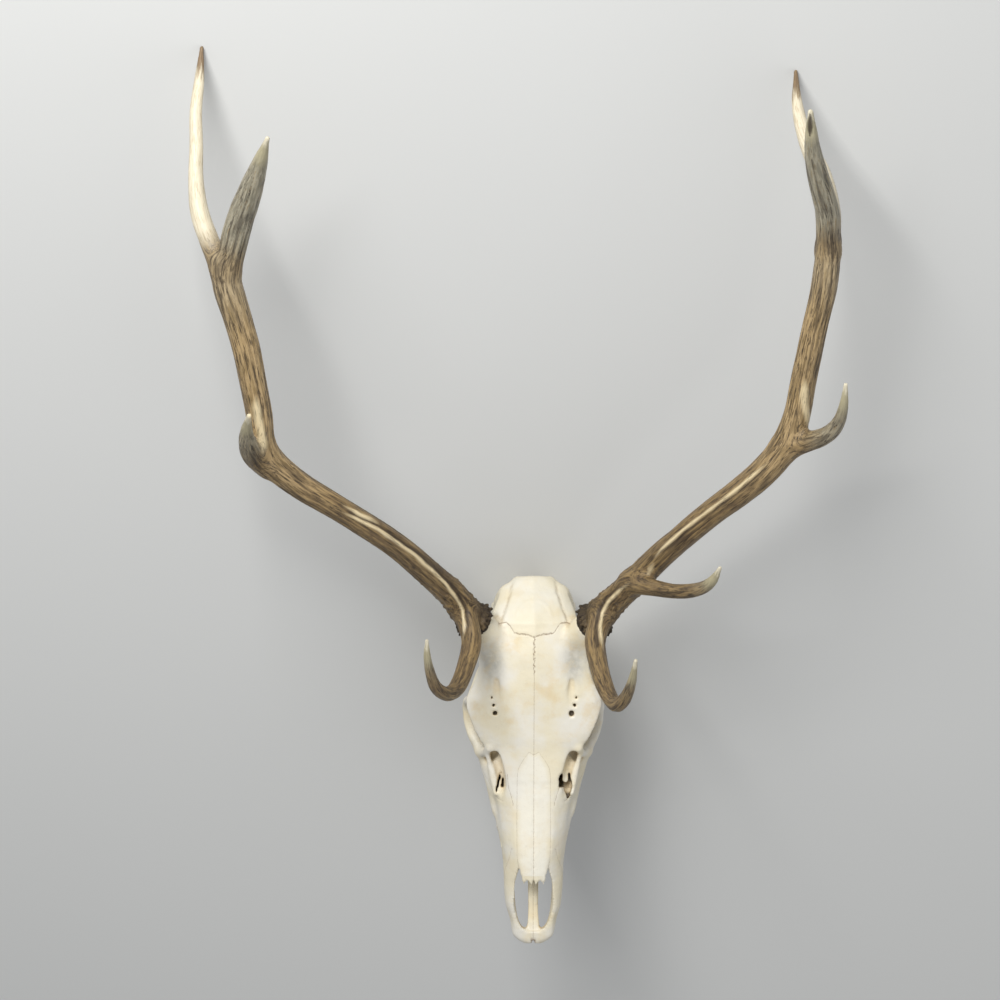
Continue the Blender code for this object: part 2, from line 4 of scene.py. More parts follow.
import bpy
import numpy as np
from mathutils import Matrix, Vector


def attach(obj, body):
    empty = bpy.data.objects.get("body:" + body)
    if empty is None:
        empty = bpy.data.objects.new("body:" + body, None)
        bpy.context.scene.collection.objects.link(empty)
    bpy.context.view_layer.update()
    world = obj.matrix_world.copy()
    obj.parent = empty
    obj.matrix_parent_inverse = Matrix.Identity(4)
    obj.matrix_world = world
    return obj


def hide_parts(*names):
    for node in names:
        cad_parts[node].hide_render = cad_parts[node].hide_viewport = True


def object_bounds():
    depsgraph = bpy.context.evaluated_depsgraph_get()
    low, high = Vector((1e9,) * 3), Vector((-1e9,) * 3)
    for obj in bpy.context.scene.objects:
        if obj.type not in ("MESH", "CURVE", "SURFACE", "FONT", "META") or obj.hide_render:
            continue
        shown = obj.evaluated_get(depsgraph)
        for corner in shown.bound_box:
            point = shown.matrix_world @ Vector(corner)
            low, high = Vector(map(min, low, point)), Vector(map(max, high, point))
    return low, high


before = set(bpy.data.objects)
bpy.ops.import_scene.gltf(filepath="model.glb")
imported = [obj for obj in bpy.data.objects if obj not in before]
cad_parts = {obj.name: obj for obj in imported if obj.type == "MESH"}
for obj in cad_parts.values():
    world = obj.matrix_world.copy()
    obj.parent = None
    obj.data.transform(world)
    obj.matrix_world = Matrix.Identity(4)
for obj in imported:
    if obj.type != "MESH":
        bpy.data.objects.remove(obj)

import openvdb
from mathutils import Matrix, Vector

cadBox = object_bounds()

# The skull's own frame: x to the animal's left, y from the nose tip backwards, z up from the chewing plane.
# The object rests tipped back, so that frame is turned about x and then moved.
rest = {"noseLift": math.radians(34.0), "place": (0.01953, -0.55600, 0.21627)}
restMatrix = Matrix.Translation(rest["place"]) @ Matrix.Rotation(-rest["noseLift"], 4, "X")


def toRow(points):
    # row = place + turn * skull
    matrix = np.array(restMatrix)
    return points @ matrix[:3, :3].T + matrix[:3, 3]


# Numbers and noise

def linear(colour):
    # an sRGB hex string to linear RGBA: ((c + 0.055) / 1.055) ^ 2.4, or c / 12.92 near black
    parts = [int(colour[i:i + 2], 16) / 255 for i in (1, 3, 5)]
    return (*[((c + 0.055) / 1.055) ** 2.4 if c > 0.04045 else c / 12.92 for c in parts], 1.0)


def smoothStep(low, high, value):
    # 3t^2 - 2t^3 with t = (value - low) / (high - low), held between 0 and 1
    t = np.clip((value - low) / (high - low), 0, 1)
    return t * t * (3 - 2 * t)


def eased(keys, values, at):
    # a cubic through (key, value) pairs whose slopes are limited, so that it never overshoots
    keys = np.asarray(keys, float)
    values = np.asarray(values, float)
    places = np.asarray(at, float)
    at = np.clip(places.ravel(), keys[0], keys[-1])
    step = np.diff(keys)
    share = (-1,) + (1,) * (values.ndim - 1)
    slope = np.diff(values, axis=0) / step.reshape(share)
    before = np.concatenate([slope[:1], slope])
    after = np.concatenate([slope, slope[-1:]])
    same = before * after > 0
    total = np.where(same, before + after, 1)
    tangent = np.where(same, 2 * before * after / total, 0)
    i = np.clip(np.searchsorted(keys, at, side="right") - 1, 0, len(step) - 1)
    t = ((at - keys[i]) / step[i]).reshape(share)
    width = step[i].reshape(share)
    rise = values[i + 1] - values[i]
    mixed = (values[i] + tangent[i] * width * t * (1 - t) ** 2 + rise * t * t * (3 - 2 * t)
             - tangent[i + 1] * width * t * t * (1 - t))
    return mixed.reshape(places.shape + values.shape[1:])


def latticeNoise(points, seed):
    # random values on the whole-number lattice, mixed with smooth weights; from -1 to 1
    table = np.random.default_rng(seed).random((32, 32, 32)).astype(np.float32)
    base = np.floor(points).astype(int)
    part = (points - base).astype(np.float32)
    part = part * part * (3 - 2 * part)
    total = np.zeros(len(points), np.float32)
    for corner in range(8):
        offset = np.array([corner & 1, corner >> 1 & 1, corner >> 2 & 1])
        weight = np.prod(np.where(offset, part, 1 - part), axis=1)
        x, y, z = ((base + offset) % 32).T
        total += weight * table[x, y, z]
    return 2 * total - 1


def layeredNoise(points, seed, layers=3):
    # sum of noise at doubled scales, each half as strong
    total = sum(latticeNoise(points * 2 ** i, seed + i) / 2 ** i for i in range(layers))
    return total / (2 - 2 ** (1 - layers))


# Solid fields: negative inside, positive outside, close to the distance near the skin

farAway = 0.02


def makeField(low, high, step):
    low = np.array(low, float)
    counts = np.ceil((np.array(high) - low) / step).astype(int) + 1
    return {"low": low, "step": step, "value": np.full(counts, farAway, np.float32)}


def windowOf(field, low, high, margin):
    # the part of the grid round a box, as slices, and its coordinates along each axis
    step = field["step"]
    first = np.floor((np.asarray(low) - margin - field["low"]) / step).astype(int)
    last = np.ceil((np.asarray(high) + margin - field["low"]) / step).astype(int) + 1
    first = np.clip(first, 0, field["value"].shape)
    last = np.clip(last, 0, field["value"].shape)
    part = tuple(slice(a, b) for a, b in zip(first, last))
    axes = [(field["low"][i] + step * np.arange(first[i], last[i])).astype(np.float32) for i in range(3)]
    return part, (axes[0][:, None, None], axes[1][None, :, None], axes[2][None, None, :])


def merge(field, part, distance, soft):
    # smooth union: min(a, b) - h^2 k / 4 with h = max(k - |a - b|, 0) / k
    here = field["value"][part]
    h = np.maximum(soft - np.abs(here - distance), 0) / soft
    field["value"][part] = np.minimum(here, distance) - h * h * soft / 4


def carve(field, part, distance, soft):
    # smooth cut: the union above with both signs turned
    here = -field["value"][part]
    h = np.maximum(soft - np.abs(here - distance), 0) / soft
    field["value"][part] = -(np.minimum(here, distance) - h * h * soft / 4)


def finePath(route, spacing):
    # a Catmull-Rom curve through the points, sampled about every spacing along its chords
    points = np.array(route, float)
    ends = np.vstack([2 * points[0] - points[1], points, 2 * points[-1] - points[-2]])
    ends[0, 3] = points[0, 3]
    ends[-1, 3] = points[-1, 3]
    samples = []
    for a, b, c, d in zip(ends, ends[1:], ends[2:], ends[3:]):
        count = max(2, int(np.linalg.norm((c - b)[:3]) / spacing))
        t = (np.arange(count) / count)[:, None]
        samples.append(0.5 * (2 * b + (c - a) * t + (2 * a - 5 * b + 4 * c - d) * t ** 2
                              + (3 * b - a - 3 * c + d) * t ** 3))
    return np.vstack(samples + [points[-1:]])


def barDistance(axes, a, b, flatten):
    # distance to a straight bar from a to b, less its radius, which changes evenly; z counts 1 / flatten
    x, y, z = axes
    ax, ay, az, ar = (float(v) for v in a)
    bx, by, bz, br = (float(v) for v in b)
    dx, dy, dz = bx - ax, by - ay, (bz - az) / flatten
    px, py, pz = x - ax, y - ay, (z - az) / flatten
    t = np.clip((px * dx + py * dy + pz * dz) / max(dx * dx + dy * dy + dz * dz, 1e-12), 0, 1)
    return np.sqrt((px - t * dx) ** 2 + (py - t * dy) ** 2 + (pz - t * dz) ** 2) - (ar + (br - ar) * t)


# A sampling distance longer than any short bar, which keeps the bar straight.
straight = 0.05


def addBar(field, route, soft, flatten=1.0, spacing=0.006, cutting=False):
    path = finePath(route, spacing)
    reach = path[:, 3].max() * max(flatten, 1) + soft + 3 * field["step"]
    part, axes = windowOf(field, path[:, :3].min(0), path[:, :3].max(0), reach)
    nearest = np.full(field["value"][part].shape, farAway, np.float32)
    local = {"low": np.array([float(axis.min()) for axis in axes]), "step": field["step"], "value": nearest}
    for a, b in zip(path, path[1:]):
        small, near = windowOf(local, np.minimum(a, b)[:3], np.maximum(a, b)[:3], reach)
        nearest[small] = np.minimum(nearest[small], barDistance(near, a, b, flatten))
    (carve if cutting else merge)(field, part, nearest, soft)


def addBall(field, centre, radii, soft, cutting=False):
    # an ellipsoid: k (k - 1) / g with k = |p / r| and g = |p / r^2|
    radii = np.array(radii, float)
    centre = np.array(centre, float)
    part, axes = windowOf(field, centre - radii, centre + radii, soft + 4 * field["step"])
    scaled = [(axis - c) / r for axis, c, r in zip(axes, centre, radii)]
    k = np.sqrt(sum(s * s for s in scaled)) + 1e-6
    g = np.sqrt(sum((s / r) ** 2 for s, r in zip(scaled, radii))) + 1e-6
    (carve if cutting else merge)(field, part, (k * (k - 1) / g).astype(np.float32), soft)


def outlineDistance(px, pz, corners):
    # signed distance in one plane to a closed outline of corners, negative inside
    a = corners
    b = np.roll(corners, -1, axis=0)
    edge = b - a
    dx = px[..., None] - a[:, 0]
    dz = pz[..., None] - a[:, 1]
    t = np.clip((dx * edge[:, 0] + dz * edge[:, 1]) / np.maximum((edge ** 2).sum(1), 1e-12), 0, 1)
    nearest = ((dx - t * edge[:, 0]) ** 2 + (dz - t * edge[:, 1]) ** 2).min(-1)
    above = pz[..., None] >= a[:, 1]
    below = pz[..., None] < b[:, 1]
    left = edge[:, 0] * dz > edge[:, 1] * dx
    crossings = np.where(above & below & left, 1, 0) - np.where(~above & ~below & ~left, 1, 0)
    return np.sqrt(nearest) * np.where(crossings.sum(-1) != 0, -1, 1)


def roundedOutline(half, count):
    # a half outline in x and z made smooth by easing over its point numbers, then mirrored in x
    numbers = np.arange(len(half))
    side = eased(numbers, half, np.linspace(0, len(half) - 1, count))
    return np.vstack([side, (side * [-1, 1])[-2:0:-1]])


def addLoft(field, stations, halves, soft, cutting=False, count=22):
    # a body whose outline across x and z changes smoothly along y; its ends are flat
    halves = np.array(halves, float)
    reach = soft + 3 * field["step"]
    low = (-halves[..., 0].max(), stations[0], halves[..., 1].min())
    high = (halves[..., 0].max(), stations[-1], halves[..., 1].max())
    part, (x, y, z) = windowOf(field, low, high, reach)
    places = y.ravel()
    flatX, flatZ = np.broadcast_arrays(x[:, :, 0], z[0])
    distance = np.empty((x.shape[0], len(places), z.shape[2]), np.float32)
    for i, place in enumerate(places):
        outline = roundedOutline(eased(stations, halves, place), count)
        flat = outlineDistance(flatX, flatZ, outline)
        beyond = max(stations[0] - place, place - stations[-1])
        distance[:, i] = np.where(flat > 0, np.hypot(flat, max(beyond, 0)), np.maximum(flat, beyond))
    (carve if cutting else merge)(field, part, distance, soft)


def skinOf(field):
    # the zero surface of a field as points and four-cornered faces
    grid = openvdb.FloatGrid(farAway)
    grid.copyFromArray(field["value"])
    points, quads = grid.convertToQuads(isovalue=0)
    return points.astype(float) * field["step"] + field["low"], quads.astype(int)


def readField(field, values, points):
    # a value of the field's grid at any point, mixed from the eight cells round it
    place = (points - field["low"]) / field["step"]
    place = np.clip(place, 0, np.array(values.shape) - 1.001)
    base = place.astype(int)
    part = place - base
    total = np.zeros(len(points))
    for corner in range(8):
        offset = np.array([corner & 1, corner >> 1 & 1, corner >> 2 & 1])
        x, y, z = (base + offset).T
        total += np.prod(np.where(offset, part, 1 - part), axis=1) * values[x, y, z]
    return total


def blurred(values, cells):
    # the mean over a box of 2 cells + 1 along each axis, from running sums
    for axis in range(3):
        padded = np.concatenate([np.repeat(values.take([0], axis), cells + 1, axis), values,
                                 np.repeat(values.take([-1], axis), cells, axis)], axis)
        sums = np.cumsum(padded, axis, dtype=np.float32)
        count = values.shape[axis]
        later = sums.take(np.arange(2 * cells + 1, 2 * cells + 1 + count), axis)
        values = (later - sums.take(np.arange(count), axis)) / (2 * cells + 1)
    return values


def vertexNormals(points, quads):
    # the sum of the neighbouring faces' crossed diagonals, at unit length
    a, b, c, d = (points[quads[:, i]] for i in range(4))
    faceNormal = np.cross(c - a, d - b)
    total = np.zeros_like(points)
    for i in range(4):
        np.add.at(total, quads[:, i], faceNormal)
    return total / np.maximum(np.linalg.norm(total, axis=1), 1e-12)[:, None]


def relaxed(points, quads, rounds):
    # each round moves every point halfway to the mean of its neighbours,
    # then back by a little more, so that nothing shrinks
    ends = np.vstack([quads[:, [0, 1]], quads[:, [1, 2]], quads[:, [2, 3]], quads[:, [3, 0]]])
    count = np.bincount(ends.ravel(), minlength=len(points))[:, None]
    for step in [0.5, -0.53] * rounds:
        total = np.zeros_like(points)
        for axis in range(3):
            total[:, axis] = (np.bincount(ends[:, 0], points[ends[:, 1], axis], len(points))
                              + np.bincount(ends[:, 1], points[ends[:, 0], axis], len(points)))
        points = points + step * (total / count - points)
    return points


def makePiece(name, points, faces, nodes, attributes, material):
    # a smooth mesh in the row frame that rides on the root body and stands for the named solids
    mesh = bpy.data.meshes.new(name)
    mesh.from_pydata(toRow(points).tolist(), [], [list(map(int, face)) for face in faces])
    for label, values in attributes.items():
        kind = "FLOAT_VECTOR" if values.ndim == 2 else "FLOAT"
        field = mesh.attributes.new(label, kind, "POINT")
        field.data.foreach_set("vector" if values.ndim == 2 else "value", values.astype(np.float32).ravel())
    mesh.shade_smooth()
    mesh.materials.append(material)
    piece = bpy.data.objects.new(name, mesh)
    bpy.context.scene.collection.objects.link(piece)
    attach(piece, "root")
    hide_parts(*nodes)
    print(name, "made:", len(points), "points", len(faces), "faces")


# Material nodes

class Value:
    # a node's output; arithmetic on it makes Math nodes

    def __init__(self, socket):
        self.socket = socket

    def combined(self, operation, first, second=0.0):
        node = addNode(self.socket.id_data, "ShaderNodeMath", {0: first, 1: second}, operation=operation)
        return Value(node.outputs[0])

    def __add__(self, other):
        return self.combined("ADD", self, other)

    def __sub__(self, other):
        return self.combined("SUBTRACT", self, other)

    def __rsub__(self, other):
        return self.combined("SUBTRACT", other, self)

    def __mul__(self, other):
        return self.combined("MULTIPLY", self, other)

    def __truediv__(self, other):
        return self.combined("DIVIDE", self, other)

    def __abs__(self):
        return self.combined("ABSOLUTE", self)

    def larger(self, other):
        return self.combined("MAXIMUM", self, other)

    def span(self, low, high, start=0.0, end=1.0):
        # from low..high to start..end with a smooth step
        inputs = {"Value": self, "From Min": low, "From Max": high, "To Min": start, "To Max": end}
        node = addNode(self.socket.id_data, "ShaderNodeMapRange", inputs, interpolation_type="SMOOTHSTEP")
        return Value(node.outputs["Result"])


def feed(node, inputs):
    # each input is a fixed value or another node's output
    for key, value in inputs.items():
        if isinstance(value, Value):
            node.id_data.links.new(value.socket, node.inputs[key])
        else:
            node.inputs[key].default_value = value


def addNode(tree, kind, inputs, **settings):
    node = tree.nodes.new(kind)
    for name, value in settings.items():
        setattr(node, name, value)
    feed(node, inputs)
    return node


class Paint:
    # a material whose colour is laid on in layers; colours are keys of its look

    def __init__(self, name, look, first):
        self.material = bpy.data.materials.new(name)
        self.material.use_nodes = True
        self.tree = self.material.node_tree
        self.look = look
        self.colour = linear(look[first])

    def attribute(self, name, output="Fac"):
        return Value(addNode(self.tree, "ShaderNodeAttribute", {}, attribute_name=name).outputs[output])

    def noise(self, vector, scale, detail=3.0, roughness=0.55):
        # scale is in cycles for each unit of the vector
        inputs = {"Vector": vector, "Scale": scale, "Detail": detail, "Roughness": roughness}
        return Value(addNode(self.tree, "ShaderNodeTexNoise", inputs).outputs["Fac"])

    def mixed(self, share, first, second):
        first, second = (linear(self.look[c]) if isinstance(c, str) else c for c in (first, second))
        inputs = {0: share, 6: first, 7: second}
        return Value(addNode(self.tree, "ShaderNodeMix", inputs, data_type="RGBA").outputs[2])

    def layer(self, share, colour):
        self.colour = self.mixed(share, self.colour, colour)

    def finished(self, roughness, height=0.0, distance=0.001, strength=0.0):
        # joins the colour, the roughness and a bump of the height to the shader
        inputs = {"Base Color": self.colour, "Roughness": roughness}
        if strength:
            bump = addNode(self.tree, "ShaderNodeBump",
                           {"Height": height, "Distance": distance, "Strength": strength})
            inputs["Normal"] = Value(bump.outputs["Normal"])
        feed(self.tree.nodes["Principled BSDF"], inputs)
        return self.material


# The skull

skullForm = {
    "step": 0.00192,
    "soft": 0.006,            # how far two bones flow into each other
    "edgeSoft": 0.0016,       # how round the edge of a hole is
    "foreheadThick": 0.011,
    "orbit": ((0.078, 0.265, 0.0775), (0.046, 0.0250, 0.0225)),
    "brain": ((0, 0.370, 0.084), (0.043, 0.062, 0.044)),
}

# Half outlines of the snout across the skull, from the top middle to the palate middle: (x, z) at each y.
snout = {
    0.000: ((0, 0.0195), (0.004, 0.0195), (0.007, 0.0185), (0.0088, 0.0170), (0.0095, 0.0145),
            (0.008, 0.0110), (0.005, 0.0100), (0, 0.0100)),
    0.003: ((0, 0.0220), (0.006, 0.0225), (0.011, 0.0215), (0.0145, 0.0195), (0.0158, 0.0155),
            (0.013, 0.0102), (0.008, 0.0090), (0, 0.0095)),
    0.007: ((0, 0.0240), (0.008, 0.0250), (0.015, 0.0245), (0.0195, 0.0220), (0.0210, 0.0165),
            (0.018, 0.0105), (0.010, 0.0085), (0, 0.0095)),
    0.012: ((0, 0.026), (0.010, 0.027), (0.018, 0.027), (0.0235, 0.024), (0.0248, 0.018),
            (0.022, 0.011), (0.013, 0.009), (0, 0.010)),
    0.030: ((0, 0.030), (0.012, 0.034), (0.022, 0.035), (0.026, 0.030), (0.028, 0.022),
            (0.025, 0.013), (0.014, 0.011), (0, 0.013)),
    0.052: ((0, 0.045), (0.014, 0.048), (0.026, 0.046), (0.032, 0.038), (0.0335, 0.028),
            (0.030, 0.016), (0.016, 0.013), (0, 0.016)),
    0.077: ((0, 0.064), (0.013, 0.064), (0.024, 0.058), (0.033, 0.048), (0.0355, 0.036),
            (0.031, 0.019), (0.017, 0.015), (0, 0.019)),
    0.098: ((0, 0.072), (0.015, 0.072), (0.025, 0.066), (0.033, 0.054), (0.036, 0.040),
            (0.031, 0.020), (0.018, 0.016), (0, 0.021)),
    0.121: ((0, 0.080), (0.018, 0.079), (0.028, 0.071), (0.036, 0.057), (0.039, 0.041),
            (0.034, 0.018), (0.022, 0.017), (0, 0.026)),
    0.145: ((0, 0.084), (0.019, 0.083), (0.031, 0.075), (0.040, 0.060), (0.0435, 0.042),
            (0.040, 0.017), (0.026, 0.017), (0, 0.031)),
    0.170: ((0, 0.088), (0.020, 0.087), (0.034, 0.078), (0.045, 0.062), (0.050, 0.043),
            (0.045, 0.017), (0.029, 0.017), (0, 0.034)),
    0.195: ((0, 0.092), (0.023, 0.091), (0.040, 0.082), (0.051, 0.064), (0.055, 0.044),
            (0.049, 0.018), (0.032, 0.018), (0, 0.036)),
    0.218: ((0, 0.096), (0.028, 0.095), (0.046, 0.085), (0.055, 0.064), (0.060, 0.046),
            (0.052, 0.019), (0.034, 0.019), (0, 0.037)),
    0.240: ((0, 0.101), (0.032, 0.099), (0.040, 0.086), (0.034, 0.064), (0.050, 0.044),
            (0.053, 0.020), (0.035, 0.020), (0, 0.039)),
    0.258: ((0, 0.106), (0.030, 0.103), (0.026, 0.086), (0.020, 0.064), (0.034, 0.046),
            (0.050, 0.026), (0.036, 0.024), (0, 0.042)),
    0.285: ((0, 0.112), (0.028, 0.108), (0.022, 0.088), (0.018, 0.064), (0.018, 0.050),
            (0.016, 0.040), (0.010, 0.038), (0, 0.042)),
    0.320: ((0, 0.118), (0.034, 0.112), (0.034, 0.090), (0.028, 0.064), (0.018, 0.050),
            (0.014, 0.042), (0.008, 0.040), (0, 0.041)),
}

# The plate of the forehead: y, top height, half width and height of its edge.
forehead = (
    (0.205, 0.0930, 0.0300, 0.087), (0.2375, 0.1000, 0.0490, 0.094), (0.252, 0.1055, 0.0635, 0.100),
    (0.271, 0.1120, 0.0725, 0.106), (0.298, 0.1215, 0.0800, 0.110), (0.325, 0.1290, 0.0690, 0.113),
    (0.360, 0.1350, 0.0594, 0.117), (0.381, 0.1350, 0.0530, 0.118), (0.402, 0.1290, 0.0490, 0.113),
    (0.420, 0.1190, 0.0425, 0.104), (0.4340, 0.1080, 0.0325, 0.096), (0.4405, 0.1035, 0.0272, 0.092),
    (0.4440, 0.1000, 0.0238, 0.090), (0.4456, 0.0985, 0.0205, 0.0895),
)

# Air space of the nose under its roof: y, half width, floor and roof.
noseCavity = (
    (0.016, 0.009, 0.0245, 0.040), (0.030, 0.0180, 0.0235, 0.050), (0.052, 0.0235, 0.025, 0.058),
    (0.075, 0.0250, 0.027, 0.060), (0.092, 0.0250, 0.029, 0.064), (0.104, 0.0250, 0.030, 0.068),
    (0.130, 0.027, 0.036, 0.073), (0.170, 0.033, 0.042, 0.078), (0.210, 0.036, 0.046, 0.081),
)

# The nose's opening seen from above: y and half width.
noseOpening = ((0.0185, 0.0050), (0.0210, 0.0115), (0.0260, 0.0162), (0.0360, 0.0196), (0.0500, 0.0218),
               (0.0660, 0.0228), (0.0770, 0.0224), (0.0830, 0.0213), (0.0870, 0.0202), (0.0920, 0.0189),
               (0.0960, 0.0174), (0.0972, 0.0150))

# Bars of the left side, mirrored on the right: (x, y, z, radius) along each, and how tall it is to its width.
arches = {
    "cheekArch": (((0.041, 0.165, 0.043, 0.0075), (0.0485, 0.200, 0.045, 0.0082),
                   (0.0592, 0.232, 0.048, 0.0084),
                   (0.0735, 0.258, 0.050, 0.0062), (0.0792, 0.284, 0.054, 0.0046),
                   (0.0705, 0.312, 0.059, 0.0045),
                   (0.0600, 0.335, 0.063, 0.0060), (0.046, 0.350, 0.066, 0.0095)), 1.45),
    "orbitBar": (((0.078, 0.290, 0.055, 0.0060), (0.079, 0.297, 0.072, 0.0048),
                  (0.075, 0.300, 0.090, 0.0056),
                  (0.066, 0.302, 0.104, 0.0085)), 1.0),
    "orbitFront": (((0.063, 0.236, 0.056, 0.0068), (0.0575, 0.236, 0.070, 0.0056),
                    (0.0545, 0.238, 0.083, 0.0048),
                    (0.0530, 0.243, 0.094, 0.0050)), 1.0),
    "tearCrest": (((0.0535, 0.240, 0.087, 0.0036), (0.0520, 0.224, 0.081, 0.0034),
                   (0.0485, 0.206, 0.078, 0.0034),
                   (0.0450, 0.188, 0.0765, 0.0030)), 1.0),
    "noseBar": (((0.0031, 0.0180, 0.0215, 0.0030), (0.0031, 0.0500, 0.0240, 0.0028),
                 (0.0029, 0.0950, 0.0290, 0.0030)), 1.3),
    "jugularProcess": (((0.038, 0.402, 0.060, 0.0115), (0.043, 0.408, 0.038, 0.0078),
                        (0.042, 0.410, 0.0207, 0.0044)), 1.0),
    "pterygoid": (((0.019, 0.262, 0.042, 0.0052), (0.018, 0.285, 0.034, 0.0030),
                   (0.017, 0.305, 0.033, 0.0028),
                   (0.016, 0.318, 0.042, 0.0044)), 1.8),
    "pterygoidHook": (((0.018, 0.288, 0.034, 0.0030), (0.0185, 0.297, 0.020, 0.0016)), 1.0),
    "occipitalSide": (((0.030, 0.424, 0.090, 0.0125), (0.036, 0.414, 0.070, 0.0115),
                       (0.032, 0.412, 0.054, 0.0105)), 1.0),
    "pedicle": (((0.044, 0.372, 0.112, 0.018), (0.054, 0.381, 0.124, 0.0168),
                 (0.0655, 0.391, 0.1365, 0.0172)), 1.0),
    "pedicleFoot": (((0.0540, 0.338, 0.1060, 0.0080), (0.0560, 0.358, 0.1130, 0.0115),
                     (0.0590, 0.376, 0.1230, 0.0140)), 1.0),
    "toothRidge": (((0.0345, 0.130, 0.020, 0.0062), (0.042, 0.190, 0.021, 0.0075),
                    (0.044, 0.262, 0.026, 0.0085)), 1.0),
}
skullBase = ((0, 0.300, 0.047, 0.010), (0, 0.340, 0.047, 0.0115), (0, 0.380, 0.048, 0.0145),
             (0, 0.412, 0.050, 0.0155))

# Rounded bones: centre and radii, mirrored where x isn't 0.
knobs = {
    "braincase": skullForm["brain"],
    "occiput": ((0, 0.408, 0.080), (0.038, 0.027, 0.026)),
    "crest": ((0, 0.428, 0.095), (0.026, 0.016, 0.010)),
    "condyle": ((0.0195, 0.424, 0.050), (0.0125, 0.0140, 0.0185)),
    "earBulla": ((0.028, 0.368, 0.042), (0.0105, 0.0150, 0.0130)),
    "earBone": ((0.042, 0.372, 0.062), (0.0110, 0.0140, 0.0150)),
    "baseKnob": ((0.0085, 0.392, 0.040), (0.0060, 0.0090, 0.0060)),
}

# Openings in the palate behind the nose tip: y, inner and outer edge.
palateOpening = ((0.0212, 0.0082, 0.0122), (0.0245, 0.0073, 0.0152), (0.030, 0.0065, 0.0178),
                 (0.040, 0.0061, 0.0202), (0.055, 0.0060, 0.0218), (0.070, 0.0062, 0.0226),
                 (0.084, 0.0075, 0.0215), (0.091, 0.0110, 0.0180))

# Hollows and holes: centre, radii and how softly each is cut; both sides.
hollows = {
    "browGroove": ((0.0440, 0.300, 0.1215), (0.0045, 0.0260, 0.0040), 0.004),
    "browHoleMiddle": ((0.0478, 0.2952, 0.1150), (0.0019, 0.0021, 0.0070), 0.0008),
    "browHoleSmall": ((0.0492, 0.3040, 0.1170), (0.0013, 0.0018, 0.0070), 0.0008),
    "cheekHole": ((0.0400, 0.1260, 0.0450), (0.0100, 0.0052, 0.0030), 0.002),
    "tearHoleLow": ((0.0620, 0.2400, 0.0740), (0.0070, 0.0017, 0.0019), 0.001),
    "tearHoleHigh": ((0.0590, 0.2415, 0.0820), (0.0070, 0.0015, 0.0017), 0.001),
    "earHole": ((0.0500, 0.3740, 0.0640), (0.0130, 0.0032, 0.0034), 0.0015),
    "ovalHole": ((0.0220, 0.3420, 0.0440), (0.0034, 0.0046, 0.0090), 0.0015),
    "condyleHole": ((0.0200, 0.4030, 0.0500), (0.0024, 0.0026, 0.0080), 0.001),
    "palateHole": ((0.0150, 0.2100, 0.0360), (0.0020, 0.0030, 0.0080), 0.001),
    "snoutDip": ((0.0490, 0.1500, 0.0640), (0.0060, 0.0300, 0.0120), 0.006),
    "tipNotch": ((0, -0.0020, 0.0180), (0.0012, 0.0075, 0.0140), 0.0012),
}
browHoles = {1: ((0.0440, 0.2850, 0.1130), (0.0033, 0.0037, 0.0075)),
             -1: ((-0.0458, 0.2856, 0.1130), (0.0031, 0.0026, 0.0075))}

# The hollow before each orbit: it runs forward and narrows.
tearHollow = ((0.0475, 0.245, 0.0810, 0.0058), (0.0455, 0.2345, 0.0865, 0.0068),
              (0.0430, 0.222, 0.0895, 0.0067),
              (0.0400, 0.208, 0.0880, 0.0066), (0.0388, 0.197, 0.0862, 0.0060),
              (0.0405, 0.186, 0.0838, 0.0042),
              (0.0415, 0.176, 0.0820, 0.0014))

# The break in the thin bone of the left hollow, and the splinter left in it: corners in x and y.
breakEdge = ((0.0311, 0.2092), (0.0285, 0.2047), (0.0300, 0.2024), (0.0293, 0.1956), (0.0323, 0.1949),
             (0.0353, 0.1956), (0.0376, 0.1881), (0.0399, 0.1797), (0.0421, 0.1828), (0.0429, 0.1873),
             (0.0459, 0.1941), (0.0444, 0.2032), (0.0431, 0.2100), (0.0412, 0.2185), (0.0398, 0.2150),
             (0.0350, 0.2150))
splinterEdge = ((0.0340, 0.2175), (0.0376, 0.2190), (0.0409, 0.2175), (0.0416, 0.2032), (0.0391, 0.1994),
                (0.0372, 0.2010), (0.0353, 0.1992), (0.0336, 0.2047))


def bothSides(centre):
    return [centre] if centre[0] == 0 else [centre, (-centre[0], *centre[1:])]


def foreheadHalf(row):
    # the plate's half outline: down along its arched top to its edge, and back along its underside
    y, top, half, edge = row
    thick = skullForm["foreheadThick"]
    shoulder = top - 0.34 * (top - edge)
    return ((0, top), (0.62 * half, shoulder), (0.90 * half, edge + 0.25 * (top - edge)),
            (half, edge - 0.002), (0.95 * half, edge - 0.006), (0.62 * half, shoulder - thick),
            (0, top - thick))


def noseHalf(row):
    y, half, floor, roof = row
    tall = roof - floor
    return ((0, roof), (0.7 * half, roof - 0.12 * tall), (half, roof - 0.45 * tall),
            (0.86 * half, floor + 0.12 * tall), (0.4 * half, floor), (0, floor))


def addSlots(field):
    # each opening is a run of tall thin posts whose width follows its two edges
    rows = np.array(palateOpening)
    places = np.arange(rows[0, 0], rows[-1, 0], 0.0012)
    inner = eased(rows[:, 0], rows[:, 1], places)
    outer = eased(rows[:, 0], rows[:, 2], places)
    for side in (-1, 1):
        for y, a, b in zip(places, inner, outer):
            radius = min((b - a) / 2, 0.0032)
            for x in np.linspace(a + radius, b - radius, 4):
                post = ((side * x, y, 0.000, radius), (side * x, y, 0.036, radius))
                addBar(field, post, 0.0008, cutting=True, spacing=straight)


